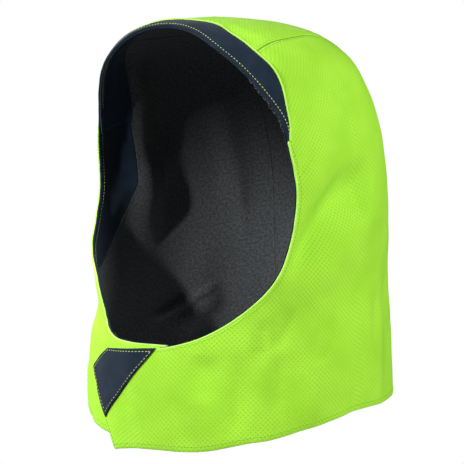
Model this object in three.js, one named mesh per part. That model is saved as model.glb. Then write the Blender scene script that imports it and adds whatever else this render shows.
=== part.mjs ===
// A soft arc flash hood: a lined cloth hood with an open face, a navy brim and a
// collar that closes at the throat with an overlapping flap.
// Millimetres, +Z up, the wearer looks along -Y and +X is the wearer's left.
// The origin is the highest point inside the crown, where the head carries the hood.

import * as THREE from "three";

// Driving dimensions
const HOOD_HEIGHT = 380;
const HOOD_WIDTH = 268;
const HOOD_DEPTH = 292;
const HEM_RISE = 34;
const FACE_WIDTH = 228;
const FACE_HEIGHT = 280;
const FACE_DROP = 6;
const BRIM_DEPTH = 27;
const FACING_WIDTH = 48;
const GUSSET_WIDTH = 166;
const FLAP_REACH = 80;
const UNDERLAP_REACH = 40;
const UNDERLAP_RISE = 3;
const TUCK_RUN = 34;
const TUCK_RISE = 46;

// Thicknesses and clearances
const SHELL_THICKNESS = 1.6;
const LINING_THICKNESS = 1.4;
const PATCH_THICKNESS = 1.1;
const TAPE_THICKNESS = 2.0;
const LAYER_GAP = 0.5;
const SEAM_GAP = 0.4;
const PATCH_GAP = 0.45;
const TAPE_GAP = 0.35;
const UNDERLAP_GAP = 1.4;

// Colours
const YELLOW_GREEN = 0xa3e63f;
const NAVY = 0x2e3f47;
const CHARCOAL = 0x3a3d3f;
const BLACK = 0x101214;

const LINING_INSET = SHELL_THICKNESS + LAYER_GAP;
const CROWN_TOP = LINING_INSET + LINING_THICKNESS;
const HALF_WIDTH = HOOD_WIDTH / 2;
const TUCK_DEPTH = SHELL_THICKNESS + TAPE_THICKNESS + TAPE_GAP + UNDERLAP_GAP;
const FLAP_TOP = FACE_DROP + FACE_HEIGHT;
const COLLAR_HEIGHT = HOOD_HEIGHT - FLAP_TOP;

// Level sections of the shell from the crown down. Drop is a share of the hood's
// height, half a share of its half width, and front, back and widest are shares of
// its depth behind the crown's top. Each section is a superellipse with one power
// for its front and one for its back.
// columns: drop, half, front, back, widest, frontPower, backPower
const SECTIONS = [
  [0.0, 0.0, 0.0, 0.0, 0.0, 2.0, 2.0],
  [0.005, 0.21, -0.116, 0.137, 0.021, 2.0, 2.0],
  [0.018, 0.4, -0.226, 0.267, 0.048, 2.1, 2.0],
  [0.047, 0.59, -0.271, 0.384, 0.086, 2.4, 2.05],
  [0.1, 0.74, -0.284, 0.476, 0.127, 2.8, 2.1],
  [0.176, 0.82, -0.291, 0.545, 0.164, 3.1, 2.1],
  [0.271, 0.873, -0.295, 0.599, 0.188, 3.3, 2.1],
  [0.387, 0.896, -0.298, 0.634, 0.199, 3.4, 2.1],
  [0.513, 0.903, -0.301, 0.644, 0.199, 3.1, 2.1],
  [0.639, 0.918, -0.312, 0.647, 0.185, 2.45, 2.1],
  [0.766, 0.963, -0.329, 0.651, 0.164, 2.15, 2.1],
  [0.892, 0.993, -0.342, 0.651, 0.151, 2.1, 2.1],
  [1.018, 1.0, -0.349, 0.651, 0.144, 2.1, 2.1],
  [1.14, 1.0, -0.35, 0.65, 0.14, 2.1, 2.1],
];
const [HALF, FRONT, BACK, WIDEST, FRONT_POWER, BACK_POWER] = [1, 2, 3, 4, 5, 6];

// Edge of the face opening on one side, from the brim's middle down to the throat.
// columns: across (of half the face width), behind (of the hood's depth),
// below (of the face height)
const FACE_EDGE = [
  [0.0, -0.222, 0.0],
  [0.24, -0.225, 0.014],
  [0.465, -0.229, 0.061],
  [0.705, -0.198, 0.143],
  [0.816, -0.171, 0.2],
  [0.921, -0.127, 0.286],
  [0.956, -0.11, 0.357],
  [0.99, -0.092, 0.471],
  [1.0, -0.089, 0.546],
  [0.982, -0.11, 0.682],
  [0.904, -0.151, 0.786],
];
const FACE_EDGE_LEFT = [...FACE_EDGE,
  [0.746, -0.216, 0.875],
  [0.5, -0.284, 0.95],
  [0.193, -0.322, 0.993],
  [0.0, -0.326, 1.003],
];
const FACE_EDGE_RIGHT = [...FACE_EDGE,
  [0.76, -0.22, 0.86],
  [0.68, -0.245, 0.925],
  [0.56, -0.27, 0.965],
  [0.3, -0.31, 0.98],
  [0.0, -0.326, 0.987],
  [-2 * UNDERLAP_REACH / FACE_WIDTH, -0.31, 0.993],
];
// Places along the face edge are counted in rows of its table.
const BRIM_END_ROWS = 6;
const FACING_TOP_ROWS = 4.2;
const LEFT_END_ROWS = 13.4;
const LEFT_TURN_ROWS = 0.6;
const RIGHT_END_ROWS = FACE_EDGE_RIGHT.length - 1;
const RIGHT_TURN_ROWS = 0.3;
const CHEEK_EDGE_ROWS = 10.5;

// Width of the brim and of the facing along the face edge.
// columns: place, width (share of the named width)
const BRIM_TAPER = [[0, 1], [1, 0.96], [2, 0.92], [2.8, 0.86], [3.6, 0.86], [4.2, 0.74],
  [4.9, 0.33], [5.4, 0.18], [6, 0.05]];
const FACING_TAPER = [[4.2, 0.55], [5, 0.95], [6, 1.05], [7.7, 1.1], [9, 0.82], [10, 0.5],
  [11, 0.3], [12, 0.22], [13, 0.2], [17, 0.2]];

// Seam between side panel and crown gusset, behind the brim and down to the hem.
// columns: across (of half the gusset width), behind (of the depth), drop (of the height)
const GUSSET_SEAM = [
  [1.012, -0.051, 0.066],
  [0.976, 0.021, 0.053],
  [0.928, 0.089, 0.045],
  [0.85, 0.202, 0.045],
  [0.77, 0.33, 0.065],
  [0.75, 0.42, 0.11],
  [0.745, 0.49, 0.18],
  [0.735, 0.546, 0.271],
  [0.723, 0.582, 0.387],
  [0.715, 0.595, 0.52],
  [0.71, 0.597, 0.639],
  [0.69, 0.605, 0.8],
  [0.68, 0.608, 0.96],
];

// Height of the hem around one side. columns: turn (degrees from the middle of the
// front), rise (share of the hem's rise above the hood's lowest point)
const HEM = [[-16, 0], [-9, 0.1], [0, 0.19], [21, 0.24], [29, 0.32], [40, 0.47], [51, 0.56],
  [61, 0.71], [75, 0.88], [89, 1], [108, 0.94], [150, 0.88]];

// Corners of the throat flap, wearer's left over right.
// columns: across (of the flap's reach), below (of the collar height)
const FLAP_CORNERS = { bottom: [-0.425, 1.0], left: [-1.02, 0.305], top: [-0.62, 0.066] };
const PATCH_CORNERS = { inner: [0.14, -0.005], bottom: [-0.605, 0.725] };

// Soft folds of the shell, as strokes on the wall that fade out at their ends.
// columns: side (1 left, -1 right), turn, drop at the start, turn, drop at the end,
// half width (of the hood's width), height (of the hood's width, inward is negative)
const FOLDS = [
  [1, 98, 0.3, 64, 0.53, 0.07, -0.024],
  [1, 108, 0.42, 78, 0.62, 0.07, 0.012],
  [1, 84, 0.26, 70, 0.4, 0.055, 0.01],
  [1, 80, 0.7, 66, 0.94, 0.07, 0.01],
  [1, 120, 0.58, 112, 0.92, 0.08, -0.014],
  [1, 24, 0.82, 34, 0.99, 0.06, 0.008],
  [-1, 102, 0.34, 74, 0.5, 0.07, -0.016],
  [-1, 72, 0.74, 84, 0.94, 0.07, 0.012],
  [-1, 44, 0.84, 58, 0.98, 0.07, -0.008],
  [-1, 122, 0.56, 108, 0.9, 0.08, -0.014],
];

// Loose folds of the lining, all inward.
const LINING_FOLDS = [
  [-1, 92, 0.14, 102, 0.56, 0.08, -0.04],
  [-1, 120, 0.22, 128, 0.56, 0.08, -0.026],
  [-1, 108, 0.78, 128, 0.72, 0.06, -0.024],
  [1, 96, 0.2, 102, 0.54, 0.08, -0.028],
  [1, 122, 0.3, 128, 0.64, 0.08, -0.024],
  [1, 100, 0.8, 124, 0.74, 0.06, -0.024],
];

// Where a stroke starts to fade and over what run, as shares of its half length
const FADE_START = 0.46;
const FADE_RUN = 0.77;

// Middle of the hood that the wall is seen from: behind (of the depth), drop (of the height)
const HEART_BEHIND = 0.17;
const HEART_DROP = 0.27;
// Rows of the gusset seam above this drop lie on the crown.
const CROWN_DROP = 0.1;
// Share of the depth that the seam's first row keeps from its front end
const SEAM_CLEARANCE = 0.03;

// Accuracy
const HALVINGS = 34;
const SLOPE_STEP = 0.25;
const FAR_OUTSIDE = 4;

// Mesh counts
const FLAP_ROWS = [4, 2, 3];
const THROAT_ROWS = 9;
const UNDERLAP_ROWS = 3;
const CHEEK_ROWS = 15;
const ROWS = 30;
const MARGIN_COLUMNS = 4;
const FIELD_COLUMNS = 10;
const GUSSET_COLUMNS = 8;
const BRIM_COLUMNS = 2;
const PATCH_STEPS = 6;
// Shares of the gusset seam that the throat's rows and the cheek's rows meet
const THROAT_SHARE = 0.16;
const CHEEK_SHARE = 0.3;
// Rows and columns of the margin's grid that the closure tape covers
const TAPE_ROWS = [1, 6];
const TAPE_COLUMNS = [1, 3];

const mix = (a, b, f) => a + (b - a) * f;
const smooth = (f) => f * f * (3 - 2 * f);
const clamp01 = (f) => Math.min(1, Math.max(0, f));

function cubic(a, b, c, d, f) {
  return 0.5 * (2 * b + (c - a) * f + (2 * a - 5 * b + 4 * c - d) * f * f
    + (3 * b - a - 3 * c + d) * f * f * f);
}

// Value of one column of the section table at a level between its rows.
function sectionValue(column, level) {
  const last = SECTIONS.length - 1;
  const row = Math.min(last - 1, Math.max(0, Math.floor(level)));
  const at = (k) => {
    if (k < 0) return 2 * SECTIONS[0][column] - SECTIONS[1][column];
    if (k > last) return 2 * SECTIONS[last][column] - SECTIONS[last - 1][column];
    return SECTIONS[k][column];
  };
  return cubic(at(row - 1), at(row), at(row + 1), at(row + 2), level - row);
}

// Level whose drop reaches z, by halving.
function levelAt(z) {
  const drop = (CROWN_TOP - z) / HOOD_HEIGHT;
  let low = 0;
  let high = SECTIONS.length - 1;
  for (let k = 0; k < HALVINGS; k += 1) {
    const middle = (low + high) / 2;
    if (sectionValue(0, middle) < drop) low = middle;
    else high = middle;
  }
  return (low + high) / 2;
}

function sectionAt(level) {
  return {
    half: Math.max(1e-4, sectionValue(HALF, level) * HALF_WIDTH),
    front: sectionValue(FRONT, level) * HOOD_DEPTH,
    back: sectionValue(BACK, level) * HOOD_DEPTH,
    widest: sectionValue(WIDEST, level) * HOOD_DEPTH,
    frontPower: sectionValue(FRONT_POWER, level),
    backPower: sectionValue(BACK_POWER, level),
  };
}

// Point of the wall at a turn (radians from the middle of the front) and a level.
function wallPoint(turn, level) {
  const s = sectionAt(level);
  const cos = Math.cos(turn);
  const sin = Math.sin(turn);
  const power = 2 / (cos > 0 ? s.frontPower : s.backPower);
  const reach = cos > 0 ? s.widest - s.front : s.back - s.widest;
  const x = s.half * Math.sign(sin) * Math.abs(sin) ** power;
  const y = s.widest - Math.sign(cos) * reach * Math.abs(cos) ** power;
  return new THREE.Vector3(x, y, CROWN_TOP - sectionValue(0, level) * HOOD_HEIGHT);
}

// Turn and level of a point of the wall.
function wallPlace(point) {
  const level = levelAt(point.z);
  const s = sectionAt(level);
  const ahead = point.y < s.widest;
  const power = ahead ? s.frontPower : s.backPower;
  const reach = ahead ? s.widest - s.front : s.back - s.widest;
  const u = Math.min(1, Math.abs(point.y - s.widest) / reach) ** (power / 2);
  const v = Math.min(1, Math.abs(point.x) / s.half) ** (power / 2);
  const turn = Math.atan2(v, ahead ? u : -u);
  return [point.x < 0 ? -turn : turn, level];
}

// Below 1 inside the wall, above 1 outside it.
function wallMeasure(point) {
  const s = sectionAt(levelAt(point.z));
  const ahead = point.y < s.widest;
  const power = ahead ? s.frontPower : s.backPower;
  const reach = Math.max(1e-4, ahead ? s.widest - s.front : s.back - s.widest);
  return (Math.abs(point.x) / s.half) ** power + (Math.abs(point.y - s.widest) / reach) ** power;
}

const HEART = new THREE.Vector3(
  0, HEART_BEHIND * HOOD_DEPTH, CROWN_TOP - HEART_DROP * HOOD_HEIGHT);

// The wall point straight out from the hood's heart, or from its axis below the heart.
function onWall(point) {
  const start = new THREE.Vector3(0, HEART.y, Math.min(point.z, HEART.z));
  const way = point.clone().sub(start).normalize();
  let inside = 0;
  let outside = 2 * Math.max(HOOD_WIDTH, HOOD_DEPTH);
  for (let k = 0; k < HALVINGS; k += 1) {
    const middle = (inside + outside) / 2;
    const probe = start.clone().addScaledVector(way, middle);
    if (probe.z < CROWN_TOP && wallMeasure(probe) < 1) inside = middle;
    else outside = middle;
  }
  return start.addScaledVector(way, inside);
}

function wallNormal(point) {
  const slope = ["x", "y", "z"].map((axis) => {
    const more = point.clone();
    const less = point.clone();
    more[axis] += SLOPE_STEP;
    less[axis] -= SLOPE_STEP;
    return Math.min(FAR_OUTSIDE, wallMeasure(more)) - Math.min(FAR_OUTSIDE, wallMeasure(less));
  });
  return new THREE.Vector3(...slope).normalize();
}

// The face edge of one side, as a function of the place along its table.
function faceEdgeCurve(table, side) {
  const rows = table.map(([across, behind, below]) => new THREE.Vector3(
    side * across * FACE_WIDTH / 2,
    behind * HOOD_DEPTH,
    CROWN_TOP - FACE_DROP - below * FACE_HEIGHT,
  ));
  const beyond = rows[1].clone();
  beyond.x = -beyond.x;
  const curve = new THREE.CatmullRomCurve3([beyond, ...rows], false, "centripetal");
  return (place) => onWall(curve.getPoint(clamp01((place + 1) / rows.length)));
}

const leftEdge = faceEdgeCurve(FACE_EDGE_LEFT, 1);
const rightEdge = faceEdgeCurve(FACE_EDGE_RIGHT, -1);

// Smooth value of a two-column table.
function tableValue(table, place) {
  const end = table.length - 1;
  const next = table.findIndex((row) => row[0] >= place);
  if (next === 0) return table[0][1];
  if (next < 0) return table[end][1];
  const slope = (k) => {
    const [before, after] = [table[Math.max(0, k - 1)], table[Math.min(end, k + 1)]];
    return (after[1] - before[1]) / (after[0] - before[0]);
  };
  const [[from, low], [to, high]] = [table[next - 1], table[next]];
  const f = (place - from) / (to - from);
  const bend = f * (1 - f) * (to - from) * (slope(next - 1) * (1 - f) - slope(next) * f);
  return mix(low, high, smooth(f)) + bend;
}

// Point of the wall at a distance behind the face edge.
function behindEdge(edge, side, place, distance) {
  const step = 0.05;
  const here = edge(place);
  const along = place < step
    ? new THREE.Vector3(side, 0, 0)
    : edge(place).sub(edge(place - step));
  const away = along.cross(wallNormal(here)).normalize();
  return onWall(here.addScaledVector(away, -side * distance));
}

const brimSeam = (edge, side, place) => behindEdge(
  edge, side, place, BRIM_DEPTH * tableValue(BRIM_TAPER, place));
const facingSeam = (edge, side, place) => behindEdge(
  edge, side, place, FACING_WIDTH * tableValue(FACING_TAPER, place));

// Place where a seam behind the face edge crosses the gusset seam.
function crossing(seam) {
  let low = 0;
  let high = BRIM_END_ROWS;
  for (let k = 0; k < HALVINGS; k += 1) {
    const middle = (low + high) / 2;
    const point = seam(middle);
    if (point.x < gussetHalfAt(point.y)) low = middle;
    else high = middle;
  }
  return (low + high) / 2;
}

function gussetHalfAt(y) {
  const rows = GUSSET_SEAM.filter((row) => row[2] < CROWN_DROP);
  const behind = y / HOOD_DEPTH;
  const next = Math.max(1, rows.findIndex((row) => row[1] >= behind));
  const [before, after] = [rows[next - 1], rows[next]];
  return mix(before[0], after[0], (behind - before[1]) / (after[1] - before[1])) * GUSSET_WIDTH / 2;
}

// Level of the hem at a turn of the wearer's left side, or of the right side mirrored.
function hemLevel(turn, side) {
  const degrees = side * turn * 180 / Math.PI;
  const rise = HEM_RISE * tableValue(HEM, side < 0 ? Math.max(0, degrees) : degrees);
  const lift = side < 0 ? UNDERLAP_RISE * smooth(clamp01((70 - degrees) / 40)) : 0;
  return levelAt(CROWN_TOP - HOOD_HEIGHT + rise + lift);
}

// The hem point below a wall point of one side.
function hemPoint(point, side) {
  const [turn] = wallPlace(point);
  return wallPoint(turn, hemLevel(turn, side));
}

// The gusset seam from the hem up to its front end.
function gussetSeamCurve(front) {
  const rows = GUSSET_SEAM.map(([across, behind, drop]) => onWall(new THREE.Vector3(
    across * GUSSET_WIDTH / 2, behind * HOOD_DEPTH, CROWN_TOP - drop * HOOD_HEIGHT)));
  const back = rows.filter((row) => row.y > front.y + SEAM_CLEARANCE * HOOD_DEPTH);
  back.push(hemPoint(back.pop(), 1));
  return new THREE.CatmullRomCurve3([front, ...back].reverse(), false, "centripetal");
}

function frontPoint(x, drop) {
  const level = levelAt(CROWN_TOP - drop);
  const s = sectionAt(level);
  const share = Math.min(1, Math.abs(x) / s.half) ** s.frontPower;
  const y = s.widest - (s.widest - s.front) * (1 - share) ** (1 / s.frontPower);
  return new THREE.Vector3(x, y, CROWN_TOP - drop);
}

const flapPoint = ([across, below]) => frontPoint(across * FLAP_REACH, FLAP_TOP + below * COLLAR_HEIGHT);

function straight(a, b, steps) {
  return Array.from({ length: steps + 1 }, (_, k) => onWall(a.clone().lerp(b, k / steps)));
}

// Joins runs of points whose ends meet.
const joined = (...runs) => runs.flatMap((run, k) => (k === 0 ? run : run.slice(1)));

// A grid over the wall between four runs of places: front and back are read upward,
// low and high from front to back.
function wallGrid(front, back, low, high) {
  const rows = front.length - 1;
  const columns = low.length - 1;
  const place = (run) => run.map(wallPlace);
  const [f, b, l, h] = [front, back, low, high].map(place);
  return f.map((_, j) => l.map((__, i) => {
    const u = i / columns;
    const v = j / rows;
    const at = (k) => mix(f[j][k], b[j][k], u) + mix(l[i][k], h[i][k], v)
      - mix(mix(l[0][k], l[columns][k], u), mix(h[0][k], h[columns][k], u), v);
    return wallPoint(at(0), at(1));
  }));
}

// A grid between the two gusset seams, with its hem and its front end given.
function crossGrid(left, right, low, high) {
  const rows = left.length - 1;
  const columns = low.length - 1;
  const blend = (a, b, f) => a.clone().lerp(b, f);
  return left.map((_, j) => low.map((__, i) => {
    const u = i / columns;
    const v = j / rows;
    const corners = blend(blend(low[0], low[columns], u), blend(high[0], high[columns], u), v);
    const point = blend(left[j], right[j], u).add(blend(low[i], high[i], v)).sub(corners);
    return onWall(point);
  }));
}

// A strip of cloth between two runs of wall points.
function stripGrid(first, second, columns) {
  return first.map((a, k) => Array.from({ length: columns + 1 },
    (_, n) => onWall(a.clone().lerp(second[k], n / columns))));
}

// Distance pushed out by the folds whose strokes pass near a wall point.
function foldHeight(table, point) {
  const [turn, level] = wallPlace(point);
  const side = Math.sign(turn) || 1;
  const drop = sectionValue(0, level) * HOOD_HEIGHT;
  const around = Math.abs(turn) * HALF_WIDTH;
  return table.filter((fold) => fold[0] === side).reduce((sum, fold) => {
    const start = [fold[1] * Math.PI / 180 * HALF_WIDTH, fold[2] * HOOD_HEIGHT];
    const end = [fold[3] * Math.PI / 180 * HALF_WIDTH, fold[4] * HOOD_HEIGHT];
    const way = [end[0] - start[0], end[1] - start[1]];
    const length = Math.hypot(...way);
    const along = ((around - start[0]) * way[0] + (drop - start[1]) * way[1]) / length ** 2;
    const off = ((around - start[0]) * way[1] - (drop - start[1]) * way[0]) / length;
    const width = fold[5] * HOOD_WIDTH;
    const fade = smooth(clamp01(1 - (Math.abs(2 * along - 1) - FADE_START) / FADE_RUN));
    return sum + fold[6] * HOOD_WIDTH * fade * Math.exp(-((off / width) ** 2));
  }, 0);
}

// How far the wearer's right panel is tucked behind the flap.
function tuck(point) {
  if (point.y > 0) return 0;
  const drop = CROWN_TOP - point.z;
  const below = (drop - FLAP_TOP) / COLLAR_HEIGHT;
  const [left, bottom] = [FLAP_CORNERS.left, FLAP_CORNERS.bottom];
  const share = clamp01((below - left[1]) / (bottom[1] - left[1]));
  const edge = mix(left[0], bottom[0], share) * FLAP_REACH;
  const across = clamp01((point.x - edge) / TUCK_RUN + 1);
  const down = clamp01((drop - FLAP_TOP + TUCK_RISE) / TUCK_RUN);
  return TUCK_DEPTH * smooth(across) * smooth(down);
}

const shellShape = (point) => foldHeight(FOLDS, point);
const underShape = (point) => shellShape(point) - tuck(point);
const liningShape = (point) => shellShape(point) + foldHeight(LINING_FOLDS, point);
const underLiningShape = (point) => liningShape(point) - tuck(point);

// Draws a grid's border in by half a seam gap, square to the border.
function trimmed(grid) {
  const rows = grid.length - 1;
  const columns = grid[0].length - 1;
  const inward = (point, next, before, after) => {
    const along = after.clone().sub(before).normalize();
    const way = next.clone().sub(point);
    return way.addScaledVector(along, -way.dot(along)).setLength(SEAM_GAP / 2);
  };
  return grid.map((row, j) => row.map((point, i) => {
    const moved = point.clone();
    const [under, over] = [grid[Math.max(0, j - 1)][i], grid[Math.min(rows, j + 1)][i]];
    const [before, after] = [row[Math.max(0, i - 1)], row[Math.min(columns, i + 1)]];
    if (i === 0) moved.add(inward(point, row[1], under, over));
    if (i === columns) moved.add(inward(point, row[columns - 1], under, over));
    if (j === 0) moved.add(inward(point, grid[1][i], before, after));
    if (j === rows) moved.add(inward(point, grid[rows - 1][i], before, after));
    return moved;
  }));
}

// A closed cloth body over a grid of wall points.
function clothBody(grid, inset, thickness, shape) {
  const rows = grid.length;
  const columns = grid[0].length;
  const outer = [];
  const inner = [];
  trimmed(grid).flat().forEach((point) => {
    const normal = wallNormal(point);
    const height = shape(point) - inset;
    outer.push(point.clone().addScaledVector(normal, height));
    inner.push(point.clone().addScaledVector(normal, height - thickness));
  });
  const positions = [...outer, ...inner].flatMap((point) => point.toArray());
  const count = rows * columns;
  const index = [];
  const quad = (a, b, c, d) => index.push(a, b, c, a, c, d);
  for (let j = 0; j + 1 < rows; j += 1) {
    for (let i = 0; i + 1 < columns; i += 1) {
      const a = j * columns + i;
      quad(a, a + 1, a + columns + 1, a + columns);
      quad(a + count, a + columns + count, a + columns + 1 + count, a + 1 + count);
    }
  }
  const border = [];
  for (let i = 0; i + 1 < columns; i += 1) border.push(i);
  for (let j = 0; j + 1 < rows; j += 1) border.push(j * columns + columns - 1);
  for (let i = columns - 1; i > 0; i -= 1) border.push((rows - 1) * columns + i);
  for (let j = rows - 1; j > 0; j -= 1) border.push(j * columns);
  border.forEach((a, k) => {
    const b = border[(k + 1) % border.length];
    quad(b, a, a + count, b + count);
  });
  return facingOut(positions, index);
}

function facingOut(positions, index) {
  const point = (k) => new THREE.Vector3().fromArray(positions, 3 * k);
  let volume = 0;
  for (let k = 0; k < index.length; k += 3) {
    volume += point(index[k]).dot(point(index[k + 1]).cross(point(index[k + 2])));
  }
  const faces = volume > 0 ? index : index.slice().reverse();
  const geometry = new THREE.BufferGeometry();
  geometry.setAttribute("position", new THREE.Float32BufferAttribute(positions, 3));
  geometry.setIndex(faces);
  geometry.computeVertexNormals();
  return geometry;
}

const mirrored = (run) => run.map((point) => new THREE.Vector3(-point.x, point.y, point.z));
const last = (run) => run[run.length - 1];

// Equal steps of a function of place along the face edge.
function placesRun(at, from, to, steps) {
  return Array.from({ length: steps + 1 }, (_, k) => at(mix(from, to, k / steps)));
}

// The hem between two points of it, on one side.
function hemRun(start, end, steps, side) {
  const [from] = wallPlace(start);
  const [turn] = wallPlace(end);
  const to = Math.abs(turn - from) > Math.PI ? turn + 2 * Math.PI : turn;
  const run = placesRun((angle) => wallPoint(angle, hemLevel(angle, side)), from, to, steps);
  return [start, ...run.slice(1, -1), end];
}

// Grid lines that all pieces share: the brim's seam and the gusset's seam
const leftBrimSeam = (place) => brimSeam(leftEdge, 1, place);
const brimCrossing = crossing(leftBrimSeam);
const brimMargin = placesRun(leftBrimSeam, BRIM_END_ROWS, FACING_TOP_ROWS, MARGIN_COLUMNS);
const brimField = placesRun(leftBrimSeam, FACING_TOP_ROWS, brimCrossing, FIELD_COLUMNS);
const brimFront = placesRun(leftBrimSeam, brimCrossing, 0, GUSSET_COLUMNS / 2);
const seamCurve = gussetSeamCurve(last(brimField));
const onSeam = (share) => onWall(seamCurve.getPointAt(share));
const gussetSeam = joined(
  placesRun(onSeam, 0, THROAT_SHARE, THROAT_ROWS),
  placesRun(onSeam, THROAT_SHARE, CHEEK_SHARE, CHEEK_ROWS - THROAT_ROWS),
  placesRun(onSeam, CHEEK_SHARE, 1, ROWS - CHEEK_ROWS),
);

// A side panel's two grids: the margin beside the face edge, as wide as the facing,
// and the field behind it. The throat run starts the front, and the throat border
// starts the line between the two grids.
function sideGrids(side, edge, end, turn, throat, throatBorder) {
  const own = (run) => (side < 0 ? mirrored(run) : run);
  const borderPlace = (place) => {
    const share = (end - place) / (end - BRIM_END_ROWS);
    return place - turn * (1 - share) ** 2 - (BRIM_END_ROWS - FACING_TOP_ROWS) * share ** 3;
  };
  const border = (place) => facingSeam(edge, side, borderPlace(place));
  const [margin, field, seam] = [brimMargin, brimField, gussetSeam].map(own);
  const beyondThroat = (at) => joined(
    placesRun(at, end, CHEEK_EDGE_ROWS, CHEEK_ROWS - (throat.length - 1)),
    placesRun(at, CHEEK_EDGE_ROWS, BRIM_END_ROWS, ROWS - CHEEK_ROWS),
  );
  const front = joined(throat, beyondThroat(edge));
  const middle = joined(throatBorder, beyondThroat(border));
  front[ROWS] = margin[0];
  middle[ROWS] = field[0];
  return {
    margin: wallGrid(front, middle, hemRun(front[0], middle[0], MARGIN_COLUMNS, side), margin),
    field: wallGrid(middle, seam, hemRun(middle[0], seam[0], FIELD_COLUMNS, side), field),
  };
}

// Columns side by side, and a cut of a grid's rows and columns
const beside = (a, b) => a.map((row, j) => [...row, ...b[j].slice(1)]);
const cut = (grid, [fromRow, toRow], [fromColumn, toColumn]) => grid
  .slice(fromRow, toRow + 1).map((row) => row.slice(fromColumn, toColumn + 1));

const [flapBottom, flapLeft, flapTop] = [
  FLAP_CORNERS.bottom, FLAP_CORNERS.left, FLAP_CORNERS.top].map(flapPoint);
const leftTurn = facingSeam(leftEdge, 1, LEFT_END_ROWS - LEFT_TURN_ROWS);
const left = sideGrids(
  1, leftEdge, LEFT_END_ROWS, LEFT_TURN_ROWS,
  joined(
    straight(flapBottom, flapLeft, FLAP_ROWS[0]),
    straight(flapLeft, flapTop, FLAP_ROWS[1]),
    straight(flapTop, leftEdge(LEFT_END_ROWS), FLAP_ROWS[2]),
  ),
  straight(hemPoint(leftTurn, 1), leftTurn, THROAT_ROWS),
);

const underlapTop = rightEdge(RIGHT_END_ROWS);
const rightTurn = facingSeam(rightEdge, -1, RIGHT_END_ROWS - RIGHT_TURN_ROWS);
const right = sideGrids(
  -1, rightEdge, RIGHT_END_ROWS, RIGHT_TURN_ROWS,
  straight(hemPoint(underlapTop, -1), underlapTop, UNDERLAP_ROWS),
  straight(hemPoint(rightTurn, -1), rightTurn, UNDERLAP_ROWS),
);

const gussetFront = joined(brimFront, mirrored(brimFront).reverse());
const backHem = hemRun(gussetSeam[0], mirrored(gussetSeam)[0], GUSSET_COLUMNS, 1);
const gusset = crossGrid(gussetSeam, mirrored(gussetSeam), backHem, gussetFront);

const brimSeamHalf = joined(brimMargin, brimField, brimFront);
const brimEdgeHalf = joined(
  placesRun(leftEdge, BRIM_END_ROWS, FACING_TOP_ROWS, MARGIN_COLUMNS),
  placesRun(leftEdge, FACING_TOP_ROWS, brimCrossing, FIELD_COLUMNS),
  placesRun(leftEdge, brimCrossing, 0, GUSSET_COLUMNS / 2),
);
const brim = stripGrid(
  joined(brimEdgeHalf, mirrored(brimEdgeHalf).reverse()),
  joined(brimSeamHalf, mirrored(brimSeamHalf).reverse()),
  BRIM_COLUMNS,
);

const [patchLeft, patchTop, patchInner, patchBottom] = [
  FLAP_CORNERS.left, FLAP_CORNERS.top, PATCH_CORNERS.inner, PATCH_CORNERS.bottom].map(flapPoint);
const patch = wallGrid(
  straight(patchLeft, patchTop, PATCH_STEPS), straight(patchBottom, patchInner, PATCH_STEPS),
  straight(patchLeft, patchBottom, PATCH_STEPS), straight(patchTop, patchInner, PATCH_STEPS));

const leftMarginRows = [THROAT_ROWS, ROWS];
const allMargin = [0, MARGIN_COLUMNS];
const leftFacing = cut(left.margin, leftMarginRows, allMargin);
const tape = cut(left.margin, TAPE_ROWS, TAPE_COLUMNS);
const patchInset = -PATCH_THICKNESS - PATCH_GAP;
const tapeInset = SHELL_THICKNESS + TAPE_GAP;

// columns: name, grid, inset from the wall, thickness, shape, colour
const CLOTH = [
  ["side_panel_left", beside(left.margin, left.field), 0, SHELL_THICKNESS, shellShape, YELLOW_GREEN],
  ["side_panel_right", beside(right.margin, right.field), 0, SHELL_THICKNESS, underShape,
    YELLOW_GREEN],
  ["crown_gusset", gusset, 0, SHELL_THICKNESS, shellShape, YELLOW_GREEN],
  ["brim", brim, 0, SHELL_THICKNESS, shellShape, NAVY],
  ["lining_left", left.field, LINING_INSET, LINING_THICKNESS, liningShape, CHARCOAL],
  ["lining_right", right.field, LINING_INSET, LINING_THICKNESS, underLiningShape, CHARCOAL],
  ["lining_gusset", gusset, LINING_INSET, LINING_THICKNESS, liningShape, CHARCOAL],
  ["brim_facing", brim, LINING_INSET, LINING_THICKNESS, liningShape, NAVY],
  ["edge_facing_left", leftFacing, LINING_INSET, LINING_THICKNESS, liningShape, NAVY],
  ["edge_facing_right", right.margin, LINING_INSET, LINING_THICKNESS, underLiningShape, NAVY],
  ["corner_patch", patch, patchInset, PATCH_THICKNESS, shellShape, NAVY],
  ["closure_tape", tape, tapeInset, TAPE_THICKNESS, shellShape, BLACK],
];

const hood = new THREE.Group();
CLOTH.forEach(([name, grid, inset, thickness, shape, color]) => {
  const material = new THREE.MeshStandardMaterial({ color, roughness: 0.85, metalness: 0 });
  const mesh = new THREE.Mesh(clothBody(grid, inset, thickness, shape), material);
  mesh.name = name;
  hood.add(mesh);
});

export default hood;
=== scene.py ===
import math

import bmesh
import bpy
import numpy as np
from mathutils import Matrix, Vector


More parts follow.
